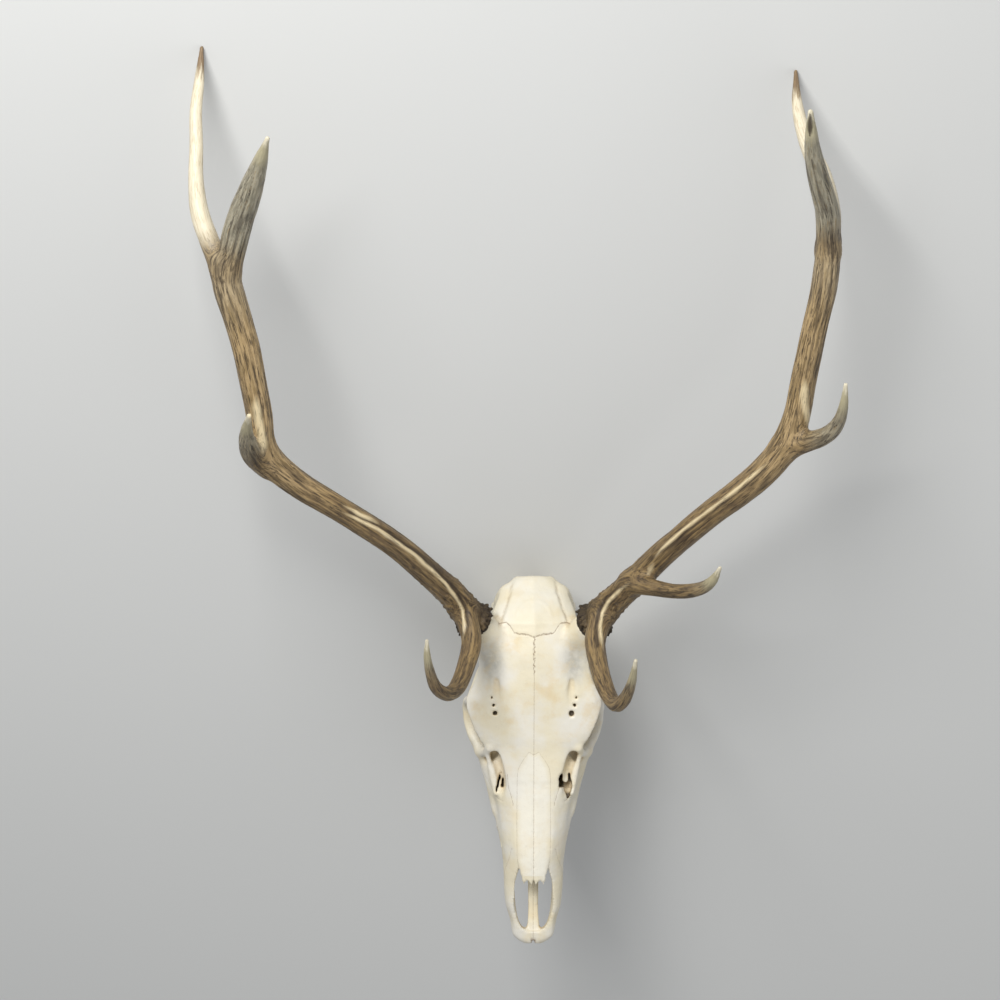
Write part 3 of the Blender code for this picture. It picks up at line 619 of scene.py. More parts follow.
def openNose(field):
    # everything above the floor of the nose inside the opening's plan outline is taken away
    rows = np.array(noseOpening)
    part, (x, y, z) = windowOf(field, (-0.024, 0.0175, 0.027), (0.024, 0.0985, 0.125), 0.002)
    half = eased(rows[:, 0], rows[:, 1], y.ravel())[None, :, None]
    plan = np.maximum((np.abs(x) - half) * 0.9, np.maximum(rows[0, 0] - y, y - rows[-1, 0]))
    floor = 0.0255 + 0.05 * np.clip(y - 0.02, 0, None)
    carve(field, part, np.maximum(plan, floor - z).astype(np.float32), 0.0016)


def nasalBones(field):
    # two arched plates side by side; each one's free end has two points with a notch between
    rows = np.array(((0.0760, 0.0705, 0.0126), (0.0860, 0.0738, 0.0142), (0.0960, 0.0768, 0.0170),
                     (0.112, 0.0806, 0.0192), (0.150, 0.0864, 0.0196), (0.200, 0.0938, 0.0194),
                     (0.216, 0.0966, 0.0185), (0.229, 0.0992, 0.0122), (0.2385, 0.1010, 0.0066)))
    part, (x, y, z) = windowOf(field, (-0.022, 0.074, 0.055), (0.022, 0.240, 0.108), 0.002)
    top = eased(rows[:, 0], rows[:, 1], y.ravel())[None, :, None]
    half = eased(rows[:, 0], rows[:, 2], y.ravel())[None, :, None]
    arch = 0.0048 * (np.abs(x) / 0.0192) ** 2 * smoothStep(0.24, 0.20, y)
    surface = top - arch - 0.0012 * np.exp(-(x / 0.0013) ** 2)
    thick = np.abs(z - (surface - 0.0014)) - 0.0014
    # the free edge in plan: two points, with a notch 7.5 mm from the middle and a nick on the middle line
    side = np.abs(x)
    free = 0.0780 + 0.0055 * np.exp(-((side - 0.0075) / 0.0024) ** 2) + 0.0050 * np.exp(-(x / 0.0011) ** 2)
    free = free + 0.0025 * np.clip((side - 0.0120) / 0.002, 0, 3) ** 1.5
    plan = np.maximum((free - y) * 0.7, np.maximum(side - half, y - 0.240))
    merge(field, part, np.maximum(thick, plan).astype(np.float32), 0.0010)


def brokenWindows(field):
    # the gap before each orbit: ragged and open on the left, two slits in thin bone on the right
    part, (x, y, z) = windowOf(field, (0.026, 0.176, 0.062), (0.048, 0.222, 0.100), 0.002)
    flatX, flatY = np.broadcast_arrays(x[:, :, 0], y[:, :, 0])
    rough = 0.0007 * latticeNoise(np.stack([flatX, flatY, 0 * flatX], -1).reshape(-1, 3) / 0.0022, 4)
    hole = outlineDistance(flatX, flatY, np.array(breakEdge)) + rough.reshape(flatX.shape)
    left = -outlineDistance(flatX, flatY, np.array(splinterEdge)) - 0.0002
    plan = np.maximum(hole, left)[:, :, None]
    carve(field, part, np.maximum(plan, 0.064 - z).astype(np.float32), 0.0006)
    for route in (((-0.0366, 0.2050, 0.0880, 0.0017), (-0.0370, 0.1960, 0.0860, 0.0017)),
                  ((-0.0390, 0.2125, 0.0880, 0.0011), (-0.0414, 0.2032, 0.0850, 0.0015),
                   (-0.0448, 0.1890, 0.0810, 0.0014))):
        for drop in np.linspace(0, 0.024, 9):
            lowered = [(x, y, z - drop, r) for x, y, z, r in route]
            addBar(field, lowered, 0.0006, cutting=True, spacing=straight)


def noseScrolls(field):
    # thin rolled plates deep in the nose, and the upright wall between its halves
    part, (x, y, z) = windowOf(field, (-0.0012, 0.105, 0.030), (0.0012, 0.215, 0.088), 0.002)
    wall = np.maximum(np.abs(x) - 0.0010, 0.120 + 0.4 * (z - 0.03) - y)
    wall = np.maximum(wall, np.maximum(y - 0.215, z - 0.077))
    merge(field, part, wall.astype(np.float32), 0.0012)
    for side in (-1, 1):
        for height, start, out in ((0.050, 0.112, 0.0155), (0.063, 0.118, 0.0130)):
            for turn in np.linspace(0, 1.6 * math.pi, 9):
                x0 = side * (out + 0.0042 * math.cos(turn))
                z0 = height + 0.0048 * math.sin(turn)
                rod = ((x0, start, z0, 0.0009), (x0 * 1.25, 0.200, z0 + 0.008, 0.0010))
                addBar(field, rod, 0.0008, spacing=straight)


# How deep and how wide the groove is along each line between bones.
seamGrooves = {"coronal": (0.0005, 0.0009), "nasal": (0.0003, 0.0008), "premax": (0.0004, 0.0009),
               "tear": (0.0004, 0.0009), "cheek": (0.0003, 0.0009), "middle": (0.0003, 0.0008)}


def surfaceRelief(points, normals):
    # a height along the normal: uneven bone - depth exp(-(offset / width)^2) along each seam
    # + the temples' edge + a flat crown with a faint arc on it - hollow temples
    x, y, z = points.T
    up = smoothStep(0.35, 0.75, normals[:, 2])
    height = 0.00040 * layeredNoise(points / 0.013, 3, 3) + 0.00014 * layeredNoise(points / 0.0034, 9, 2)
    waver = 0.0006 * latticeNoise(points / 0.0025, 21)
    for name, offset in seams(points).items():
        depth, width = seamGrooves[name]
        height -= depth * np.exp(-((offset + waver) / width) ** 2)
    line = temporalLine(points)
    behind = up * smoothStep(0.383, 0.392, y)
    height += behind * (0.0011 * smoothStep(0.0016, -0.0016, line) - 0.0009 * np.exp(-(line / 0.0016) ** 2))
    plateau = smoothStep(0.4275, 0.4235, y) * smoothStep(0.387, 0.392, y) * smoothStep(0.001, -0.003, line)
    bow = np.hypot(x / 0.021, (y - 0.3940) / 0.0235)
    arc = np.exp(-((bow - 1) / 0.07) ** 2) * smoothStep(0.396, 0.402, y)
    return height + up * (0.0005 * plateau + 0.0005 * arc - 0.0036 * templeHollow(points))


def templeHollow(points):
    # a soft hollow in front of each burr, which the colour also greys as painted shade: exp(-(dx / a)^2 - (dy
    # / b)^2)
    across = (np.abs(points[:, 0]) - 0.0485) / 0.0125
    return np.exp(-across ** 2 - ((points[:, 1] - 0.3450) / 0.0220) ** 2)


def temporalLine(points):
    # signed distance in plan from the line where the temple muscles ended on the roof of the braincase
    side = np.abs(points[:, 0]) + 0.0008 * latticeNoise(points / 0.006, 31)
    edge = eased((0.383, 0.392, 0.410, 0.427, 0.440), (0.0405, 0.0390, 0.0325, 0.0275, 0.0255), points[:, 1])
    return side - edge


def seams(points):
    # signed offsets, in metres, from the lines where bones meet
    x, y, z = points.T
    side = np.abs(x)
    far = 0.05
    coronal = y - eased((0, 0.0095, 0.0225, 0.0268, 0.0335, 0.0435),
                        (0.3758, 0.3788, 0.3802, 0.3868, 0.3925, 0.3910), side)
    coronal = np.where((z > 0.10) & (side < 0.0425), coronal, far)
    nasal = side - eased((0.086, 0.096, 0.112, 0.150, 0.205, 0.216, 0.229, 0.2385),
                         (0.0158, 0.0172, 0.0196, 0.0200, 0.0197, 0.0188, 0.0125, 0.0050), y)
    nasal = np.where((z > 0.064) & (y < 0.2384) & (y > 0.088), nasal, far)
    rearEdge = y - 0.2384 + 0.6 * np.abs(side - 0.0055)
    nasal = np.where((z > 0.09) & (side < 0.0085) & (y > 0.232), rearEdge, nasal)
    premax = y - eased((0.016, 0.030, 0.050, 0.064, 0.0725), (0.055, 0.070, 0.094, 0.108, 0.121), z)
    premax = np.where((z < 0.0745) & (y < 0.13) & (side > 0.0185), premax, far)
    tear = y - eased((0.050, 0.060, 0.072, 0.084), (0.214, 0.200, 0.182, 0.176), z)
    tear = np.where((z > 0.050) & (z < 0.086) & (side > 0.03) & (y < 0.235), tear, far)
    tearFront = side - eased((0.176, 0.186, 0.196, 0.212), (0.0245, 0.0270, 0.0300, 0.0312), y)
    tear = np.where((z > 0.078) & (y > 0.172) & (y < 0.212) & (side < 0.036), tearFront, tear)
    cheek = z - eased((0.200, 0.215, 0.235), (0.040, 0.047, 0.036), y)
    cheek = np.where((side > 0.04) & (y > 0.2) & (y < 0.236), cheek, far)
    middle = np.where(((z > 0.06) | ((y < 0.1) & (z > 0.019))) & (y < 0.3765), x, far)
    return {"coronal": coronal, "nasal": nasal, "premax": premax,
            "tear": tear, "cheek": cheek, "middle": middle}


def skullSkin():
    field = makeField((-0.094, -0.006, -0.004), (0.094, 0.458, 0.160), skullForm["step"])
    soft = skullForm["soft"]
    addLoft(field, list(snout), list(snout.values()), soft)
    addLoft(field, [row[0] for row in forehead], [foreheadHalf(row) for row in forehead], soft)
    addBar(field, skullBase, soft)
    for centre, radii in knobs.values():
        for place in bothSides(centre):
            addBall(field, place, radii, soft)
    for route, flatten in arches.values():
        for mirror in (1, -1):
            addBar(field, [(mirror * x, y, z, r) for x, y, z, r in route], soft, flatten)
    print("skull: bones joined")
    edge = skullForm["edgeSoft"]
    addLoft(field, [row[0] for row in noseCavity], [noseHalf(row) for row in noseCavity], edge, cutting=True)
    openNose(field)
    nasalBones(field)
    noseScrolls(field)
    for mirror in (1, -1):
        addBar(field, [(mirror * x, y, z, r) for x, y, z, r in tearHollow], 0.003, 1.5, cutting=True)
    centre, radii = skullForm["orbit"]
    for place in bothSides(centre):
        addBall(field, place, radii, 0.003, cutting=True)
    for centre, radii, soften in hollows.values():
        for place in bothSides(centre):
            addBall(field, place, radii, soften, cutting=True)
    for centre, radii in browHoles.values():
        addBall(field, centre, radii, 0.001, cutting=True)
    centre, radii = skullForm["brain"]
    addBall(field, centre, [r - 0.007 for r in radii], 0.004, cutting=True)
    addBar(field, ((0, 0.450, 0.057, 0.0130), (0, 0.385, 0.067, 0.0135)), 0.003, cutting=True)
    addSlots(field)
    brokenWindows(field)
    print("skull: hollows cut")
    return field


def makeSkull(material):
    field = skullSkin()
    points, quads = skinOf(field)
    points = relaxed(points, quads, 2)
    normals = vertexNormals(points, quads)
    # how much bone lies near each point, over three distances; the colour darkens by these as painted shade
    # in creases, hollows and holes
    filled = (field["value"] < 0).astype(np.float32)
    solid = blurred(filled, 4)
    crowding = readField(field, solid, points + normals * 0.0045)
    deep = readField(field, blurred(solid, 7), points + normals * 0.008)
    pit = readField(field, blurred(filled, 2), points + normals * 0.0030)
    points = points + normals * surfaceRelief(points, normals)[:, None]
    attributes = {"place": points, "crowding": crowding, "deep": deep, "pit": pit,
                  "temporal": temporalLine(points), "hollow_shade": templeHollow(points)}
    for name, offset in seams(points).items():
        attributes["seam_" + name] = offset
    makePiece("skull_bone", points, quads, ["skull"], attributes, material)


boneLook = {
    "ivory": "#E6E1D4", "cream": "#E4DABF", "warm": "#DCC390", "grey": "#BDBAB0", "white": "#EEE9DA",
    "crown": "#D5CEB8", "hollow_shade": "#A5A398", "seam_and_shade": "#7A5F40", "dirt_and_shade": "#A58D66", "pit": "#3A2C20",
    "roughness": 0.5, "bump": (0.0006, 0.9),
    # each line between bones: half width, how far it winds, and how dark it is
    "seams": {"coronal": (0.00125, 0.0048, 0.72), "nasal": (0.00040, 0.0014, 0.42),
              "premax": (0.00050, 0.0016, 0.50), "tear": (0.00050, 0.0020, 0.55),
              "cheek": (0.00045, 0.0016, 0.42), "middle": (0.00048, 0.0008, 0.55)},
    # what the toothed rear of the middle line has more of
    "middleMore": (0.0007, 0.0090, 0.25),
}


def boneMaterial():
    # whitened bone: ivory with warm stains, painted shade in its pits, hollows and creases, darker along the
    # seams, and finely porous
    bone = Paint("whitened_bone_porous", boneLook, "ivory")
    place = bone.attribute("place", "Vector")
    deep = bone.attribute("deep")
    split = addNode(bone.tree, "ShaderNodeSeparateXYZ", {0: place})
    across, along, up = (Value(output) for output in split.outputs)
    aside = abs(across)
    broad = bone.noise(place, 20, 4)
    fine = bone.noise(place, 170, 5, 0.6)
    pores = bone.noise(place, 900, 2, 0.5)
    bone.layer(broad.span(0.36, 0.64), "cream")
    bone.layer(bone.attribute("seam_nasal").span(0.0012, -0.0075, 0, 0.80), "white")
    # grey painted shade in the soft hollow in front of each burr
    bone.layer(bone.attribute("hollow_shade") * fine.span(0.30, 0.65, 0.50, 0.80), "hollow_shade")
    bone.layer(along.span(0.380, 0.400, 0, 0.45), "crown")
    # warmer behind the brows and toward the coronal seam, the orbits and the nose tip
    back = along.span(0.22, 0.30) * along.span(0.40, 0.375)
    ends = back.larger(along.span(0.05, 0.01))
    bone.layer(bone.noise(place, 34, 5, 0.62).span(0.47, 0.70) * (ends * 0.30 + 0.22), "warm")
    # warmer where bone crowds round a point: partly stain, partly painted shade in creases
    bone.layer(bone.attribute("crowding").span(0.22, 0.42, 0, 0.42), "warm")
    # dirt, and painted shade, in what lies deep; near black painted shade in the deepest hollows and small
    # holes
    bone.layer((deep + (fine - 0.5) * 0.30).span(0.26, 0.50, 0, 0.65), "dirt_and_shade")
    bone.layer(deep.span(0.46, 0.66, 0, 0.92), "pit")
    bone.layer(bone.attribute("pit").span(0.42, 0.62, 0, 0.85), "pit")
    bone.layer(fine.span(0.58, 0.80, 0, 0.20), "grey")
    bone.layer(pores.span(0.66, 0.74) * broad.span(0.45, 0.62) * 0.35, "dirt_and_shade")
    # painted shade along the edge of the temples on the roof of the braincase
    behind = along.span(0.384, 0.393) * up.span(0.095, 0.103)
    edge = abs(bone.attribute("temporal")).span(0.0030, 0.0004)
    bone.layer(edge * behind * fine.span(0.34, 0.60, 0.05, 0.30), "dirt_and_shade")
    # brown painted shade under the brow's overhanging edge and in the tip's notch
    under = up.span(0.107, 0.101) * up.span(0.084, 0.094) * aside.span(0.062, 0.069)
    under = under * along.span(0.284, 0.298) * broad.span(0.35, 0.60, 0.25, 0.60)
    notch = aside.span(0.0045, 0.0012) * along.span(0.010, 0.004) * fine.span(0.35, 0.60, 0.3, 0.9)
    bone.layer(under.larger(notch), "seam_and_shade")
    height = fine * 0.5 + pores * 0.12
    toothed = along.span(0.328, 0.338) * along.span(0.380, 0.374)
    wiggle = bone.noise(place, 330, 3, 0.75) - 0.5
    dots = bone.noise(place, 700, 2).span(0.34, 0.52, 0.35, 1)
    for name, values in boneLook["seams"].items():
        if name == "middle":
            values = [toothed * more + value for value, more in zip(values, boneLook["middleMore"])]
        width, winding, strength = values
        away = abs(bone.attribute("seam_" + name) + wiggle * winding)
        line = (1 - away / width).span(0.0, 0.8) * strength * dots
        bone.layer(line, "seam_and_shade")
        height = height - line * 0.25
    return bone.finished(boneLook["roughness"], height, *boneLook["bump"])


# Cheek teeth

teethForm = {
    "rootTop": 0.027, "crownBottom": 0.0022, "lean": math.radians(8.0),
    "rowFront": 0.0345, "rowBack": 0.0430, "rowBow": 0.0025,
    "pointsAround": 96, "sideRows": 26, "capRows": 16,
}
# name, middle along the skull, half width, half length and number of lobes
teeth = (
    ("premolar_2", 0.141, 0.0070, 0.0082, 1), ("premolar_3", 0.159, 0.0080, 0.0086, 1),
    ("premolar_4", 0.177, 0.0085, 0.0083, 1), ("molar_1", 0.1975, 0.0095, 0.0108, 2),
    ("molar_2", 0.2215, 0.0102, 0.0118, 2), ("molar_3", 0.2455, 0.0098, 0.0110, 2),
)


def crownHeight(u, v, lobes):
    # how far the chewing face stands out at u along and v across, both from -1 to 1: each lobe has an
    # outer and an inner crescent ridge with a pit between, 1 - |d| / w summed over the crescents
    place = (u + 1) / 2 * lobes
    inLobe = (place - np.floor(np.clip(place, 0, lobes - 1e-6))) * 2 - 1
    outer = v - (0.62 - 0.42 * inLobe ** 2)
    inner = v + (0.62 - 0.48 * inLobe ** 2)
    ridge = np.maximum(1 - np.abs(outer) / 0.20, 0) + 0.85 * np.maximum(1 - np.abs(inner) / 0.20, 0)
    pit = np.exp(-(v / 0.16) ** 2 - (inLobe / 0.45) ** 2)
    return ridge, pit


def makeTooth(name, middle, halfWidth, halfLength, lobes, side, material):
    # rings of points from the root to the crown's rim, then inward over the chewing face
    sideRows, capRows = teethForm["sideRows"], teethForm["capRows"]
    around = np.linspace(0, 2 * math.pi, teethForm["pointsAround"], endpoint=False)
    levels = np.concatenate([np.linspace(0, 1, sideRows), np.full(capRows, 1.0)])
    inward = np.concatenate([np.ones(sideRows), 1 - np.linspace(0, 1, capRows + 1)[1:] ** 1.2])
    angle, level = np.meshgrid(around, levels)
    shrink = np.broadcast_to(inward[:, None], angle.shape)
    # a squared ring: sign(c) |c|^0.62 along each axis
    alongShape = np.sign(np.sin(angle)) * np.abs(np.sin(angle)) ** 0.62
    acrossShape = np.sign(np.cos(angle)) * np.abs(np.cos(angle)) ** 0.66
    taper = eased((0, 0.45, 0.8, 1.0), (0.80, 0.95, 1.0, 0.93), level)
    ribs = 0.07 * np.cos(alongShape * math.pi * (lobes + 0.5)) * np.where(acrossShape * side > 0, 1, 0.4)
    u = alongShape * shrink
    v = acrossShape * shrink
    waist = 1 - 0.16 * (lobes == 2) * np.exp(-(u / 0.16) ** 2)
    across = halfWidth * taper * v * (1 + ribs * (np.abs(acrossShape) > 0.3)) * waist
    along = halfLength * taper * u * 0.985
    ridge, pit = crownHeight(u, v * side, lobes)
    depth = teethForm["rootTop"] - teethForm["crownBottom"]
    cap = smoothStep(1.0, 0.86, shrink)
    down = -depth * 0.915 * level - cap * (0.0002 + 0.0021 * ridge - 0.0024 * pit)
    rows, count = angle.shape
    closing = [[0, 0, 0.0], [0, 0, float(down[-1].mean())]]
    points = np.vstack([np.stack([across, along, down], -1).reshape(-1, 3), closing])
    i = np.arange(count)
    following = (i + 1) % count
    ring = np.stack([i, following, following + count, i + count], 1)
    quads = np.vstack([ring + row * count for row in range(rows - 1)])
    rootFan = np.stack([following, i, np.full(count, rows * count)], 1)
    last = (rows - 1) * count
    crownFan = np.stack([last + i, last + following, np.full(count, rows * count + 1)], 1)
    share = (middle - teeth[0][1]) / (teeth[-1][1] - teeth[0][1])
    x = teethForm["rowFront"] + (teethForm["rowBack"] - teethForm["rowFront"]) * share
    x += math.sin(math.pi * share) * teethForm["rowBow"]
    turn = np.array(Matrix.Rotation(-side * teethForm["lean"], 3, "Y"))
    placed = points @ turn.T + [side * x, middle, teethForm["rootTop"]]
    attributes = {"place": placed, "ridge": np.append(np.maximum(ridge * cap, 1 - cap).ravel(), [1, 0]),
                  "pit": np.append((pit * cap).ravel(), [0, 1]), "height": np.append(level.ravel(), [0, 1])}
    word = "left" if side > 0 else "right"
    faces = [*quads, *rootFan, *crownFan]
    makePiece(f"{word}_{name}_tooth", placed, faces, [f"{word}_{name}"], attributes, material)


toothLook = {
    "enamel": "#EDE6D3", "root": "#D9C79F", "stain": "#5A4028", "tartar": "#94795A", "dentine": "#B39368",
    "roughness": 0.34, "bump": (0.0003, 0.4),
}


def toothMaterial():
    # worn enamel: pale ridges, brown dentine between, dark tartar toward the gum line
    tooth = Paint("worn_tooth_enamel", toothLook, "root")
    height = tooth.attribute("height")
    mottled = tooth.noise(tooth.attribute("place", "Vector"), 190, 4, 0.55)
    tooth.layer(height.span(0.30, 0.55), "enamel")
    band = height.span(0.36, 0.52) * height.span(0.92, 0.60)
    tooth.layer(band * mottled.span(0.36, 0.70) * 0.7, "tartar")
    tooth.layer(height.span(0.985, 1.0) * tooth.attribute("ridge").span(0.75, 0.25), "dentine")
    tooth.layer(tooth.attribute("pit").span(0.35, 0.8, 0, 0.85), "stain")
    return tooth.finished(toothLook["roughness"], mottled, *toothLook["bump"])


# The antlers

antlerForm = {
    "step": 0.00150,
    "fork": {"beam": 0.004, "topFront": 0.007, "topRear": 0.008},   # how far each flows into the others
    "plainFork": 0.010,
    "burrRadius": 0.0228, "spikeRows": (0.0015, 0.0065), "spikes": 36, "pearls": 300,
    "grooveDepth": 0.0010, "ridgeHeight": 0.0011,
}
# The middle line of each beam and tine: (x, y, z, radius).
antlerRoutes = {
    "right": {
        "beam": ((-0.0690, 0.394, 0.1390, 0.0190), (-0.083, 0.411, 0.154, 0.0172),
                 (-0.095, 0.427, 0.172, 0.0164),
                 (-0.118, 0.449, 0.200, 0.0155), (-0.162, 0.488, 0.250, 0.0147),
                 (-0.220, 0.527, 0.295, 0.0145),
                 (-0.261, 0.552, 0.315, 0.0150), (-0.291, 0.578, 0.335, 0.0160),
                 (-0.301, 0.602, 0.352, 0.0153),
                 (-0.302, 0.630, 0.368, 0.0147), (-0.307, 0.664, 0.388, 0.0148),
                 (-0.312, 0.697, 0.408, 0.0150),
                 (-0.320, 0.730, 0.425, 0.0152), (-0.329, 0.763, 0.442, 0.0158),
                 (-0.3315, 0.788, 0.455, 0.0142)),
        "brow": ((-0.081, 0.408, 0.160, 0.0135), (-0.073, 0.374, 0.180, 0.0118),
                 (-0.079, 0.346, 0.208, 0.0104),
                 (-0.088, 0.325, 0.242, 0.0096), (-0.099, 0.319, 0.272, 0.0084),
                 (-0.111, 0.328, 0.300, 0.0072),
                 (-0.117, 0.346, 0.322, 0.0056), (-0.120, 0.366, 0.340, 0.0040),
                 (-0.120, 0.382, 0.350, 0.0021)),
        "third": ((-0.297, 0.574, 0.334, 0.0126), (-0.308, 0.583, 0.358, 0.0120),
                  (-0.312, 0.596, 0.390, 0.0103),
                  (-0.311, 0.610, 0.420, 0.0068), (-0.306, 0.625, 0.450, 0.0026)),
        "topFront": ((-0.3275, 0.780, 0.450, 0.0138), (-0.318, 0.812, 0.475, 0.0146),
                     (-0.308, 0.836, 0.500, 0.0142),
                     (-0.300, 0.850, 0.522, 0.0129), (-0.292, 0.865, 0.545, 0.0110),
                     (-0.283, 0.882, 0.573, 0.0074),
                     (-0.274, 0.900, 0.600, 0.0026)),
        "topRear": ((-0.335, 0.780, 0.449, 0.0112), (-0.3475, 0.810, 0.451, 0.0108),
                    (-0.358, 0.841, 0.451, 0.0100),
                    (-0.362, 0.876, 0.449, 0.0082), (-0.362, 0.912, 0.445, 0.0074),
                    (-0.363, 0.948, 0.440, 0.0067),
                    (-0.360, 0.984, 0.433, 0.0054), (-0.358, 1.018, 0.4281, 0.0022)),
    },
    "left": {
        "beam": ((0.0680, 0.393, 0.1390, 0.0190), (0.081, 0.408, 0.154, 0.0172),
                 (0.093, 0.421, 0.169, 0.0165),
                 (0.113, 0.441, 0.191, 0.0155), (0.149, 0.479, 0.231, 0.0148),
                 (0.196, 0.521, 0.275, 0.0146),
                 (0.224, 0.543, 0.296, 0.0154), (0.250, 0.566, 0.316, 0.0160),
                 (0.272, 0.594, 0.334, 0.0160),
                 (0.284, 0.628, 0.351, 0.0148), (0.289, 0.663, 0.370, 0.0142),
                 (0.294, 0.696, 0.390, 0.0140),
                 (0.299, 0.727, 0.408, 0.0138), (0.305, 0.759, 0.426, 0.0140),
                 (0.3075, 0.788, 0.441, 0.0136),
                 (0.3075, 0.806, 0.450, 0.0118)),
        "brow": ((0.080, 0.406, 0.160, 0.0140), (0.070, 0.375, 0.180, 0.0124),
                 (0.072, 0.351, 0.204, 0.0110),
                 (0.077, 0.330, 0.232, 0.0102), (0.084, 0.313, 0.262, 0.0092),
                 (0.091, 0.308, 0.290, 0.0083),
                 (0.099, 0.318, 0.315, 0.0070), (0.105, 0.338, 0.338, 0.0050),
                 (0.108, 0.361, 0.360, 0.0023)),
        "bez": ((0.111, 0.442, 0.192, 0.0135), (0.132, 0.437, 0.235, 0.0098), (0.153, 0.434, 0.270, 0.0085),
                (0.171, 0.435, 0.300, 0.0080), (0.185, 0.440, 0.325, 0.0070), (0.194, 0.449, 0.343, 0.0052),
                (0.200, 0.462, 0.358, 0.0022)),
        "third": ((0.272, 0.593, 0.332, 0.0118), (0.294, 0.599, 0.349, 0.0112),
                  (0.313, 0.606, 0.380, 0.0093),
                  (0.323, 0.619, 0.408, 0.0074), (0.326, 0.636, 0.432, 0.0052),
                  (0.326, 0.658, 0.450, 0.0023)),
        "topFront": ((0.3075, 0.802, 0.448, 0.0122), (0.303, 0.836, 0.481, 0.0126),
                     (0.296, 0.853, 0.505, 0.0122),
                     (0.286, 0.874, 0.535, 0.0108), (0.279, 0.891, 0.562, 0.0088),
                     (0.275, 0.907, 0.585, 0.0065),
                     (0.272, 0.926, 0.605, 0.0030)),
        "topRear": ((0.3085, 0.800, 0.444, 0.0112), (0.3100, 0.838, 0.448, 0.0112),
                    (0.302, 0.878, 0.445, 0.0104),
                    (0.289, 0.908, 0.439, 0.0090), (0.281, 0.935, 0.432, 0.0075),
                    (0.277, 0.962, 0.424, 0.0056),
                    (0.277, 0.995, 0.4124, 0.0022)),
    },
}
nodeOfRoute = {"brow": "brow_tine", "bez": "bez_tine", "third": "third_tine", "topFront": "top_front_tine",
               "topRear": "top_rear_tine"}


# Pale polished ridges on the front of each antler, with a painted highlight along them: corners in x and y,
# and half width.
polishHighlightLines = {
    "right": (
        (((-0.2175, 0.5236), (-0.2014, 0.5165), (-0.1770, 0.5039), (-0.1553, 0.4882), (-0.1362, 0.4737),
          (-0.1197, 0.4577), (-0.1030, 0.4415), (-0.0904, 0.4237), (-0.0828, 0.4088), (-0.0812, 0.3920),
          (-0.0830, 0.3725)), 0.0017),
        (((-0.3033, 0.6461), (-0.3021, 0.6255), (-0.2984, 0.6074), (-0.2979, 0.5863)), 0.0042),
        (((-0.1700, 0.5065), (-0.1950, 0.5200), (-0.2180, 0.5330)), 0.0016)),
    "left": (
        (((0.1105, 0.4435), (0.0970, 0.4322), (0.0844, 0.4186), (0.0782, 0.4062), (0.0755, 0.3915),
          (0.0762, 0.3745), (0.0790, 0.3599)), 0.0019),
        (((0.1332, 0.4625), (0.1284, 0.4515)), 0.0034),
        (((0.1318, 0.4663), (0.1431, 0.4809), (0.1659, 0.5027), (0.1927, 0.5244), (0.2193, 0.5456),
          (0.2413, 0.5654), (0.2545, 0.5782)), 0.0015),
        (((0.2896, 0.6656), (0.2891, 0.6507), (0.2926, 0.6307), (0.2997, 0.6130)), 0.0034)),
}
# The dark spot near the tip of the left front tine, painted shade of a hollow that the shape doesn't have:
# its ends in x and y.
hollowTipShade = ((0.2715, 0.9230), (0.2731, 0.9040))


def carriedFrame(path, start=(0.3, 0.2, 1.0)):
    # two directions across the path, turned no more than the path turns
    along = np.gradient(path[:, :3], axis=0)
    along /= np.linalg.norm(along, axis=1)[:, None]
    across = np.array(start)
    frames = []
    for direction in along:
        across = across - direction * (across @ direction)
        across = across / np.linalg.norm(across)
        frames.append(across)
    first = np.array(frames)
    return along, first, np.cross(along, first)


def lengthsOf(path):
    return np.concatenate([[0], np.cumsum(np.linalg.norm(np.diff(path[:, :3], axis=0), axis=1))])


def alongRoute(points, path, start):
    # for each point: distance along the path, distance from it, the radius there, and where it is round it
    along, first, second = carriedFrame(path, start)
    nearest = np.empty(len(points), int)
    for row in range(0, len(points), 20000):
        block = points[row:row + 20000]
        away = ((block[:, None] - path[None, :, :3]) ** 2).sum(-1)
        nearest[row:row + 20000] = away.argmin(1)
    offset = points - path[nearest, :3]
    slide = (offset * along[nearest]).sum(1)
    u = (offset * first[nearest]).sum(1)
    v = (offset * second[nearest]).sum(1)
    across = np.maximum(np.hypot(u, v), 1e-6)
    gap = np.linalg.norm(offset, axis=1)
    return lengthsOf(path)[nearest] + slide, gap, path[nearest, 3], u / across, v / across


def lineGap(points, corners):
    # distance in plan from a line of corners, the side of it that a point is on,
    # and how far the point is from the line's ends
    corners = np.array(corners)
    best = np.ones(len(points))
    side = np.zeros(len(points))
    place = np.zeros(len(points))
    lengths = np.concatenate([[0], np.cumsum(np.linalg.norm(np.diff(corners, axis=0), axis=1))])
    for a, b, start in zip(corners, corners[1:], lengths):
        edge = b - a
        offset = points[:, :2] - a
        t = np.clip(offset @ edge / (edge @ edge), 0, 1)
        gap = np.linalg.norm(offset - t[:, None] * edge, axis=1)
        nearer = gap < best
        best = np.where(nearer, gap, best)
        side = np.where(nearer, np.sign(edge[0] * offset[:, 1] - edge[1] * offset[:, 0]), side)
        place = np.where(nearer, start + t * np.linalg.norm(edge), place)
    return best, side, np.minimum(place, lengths[-1] - place)


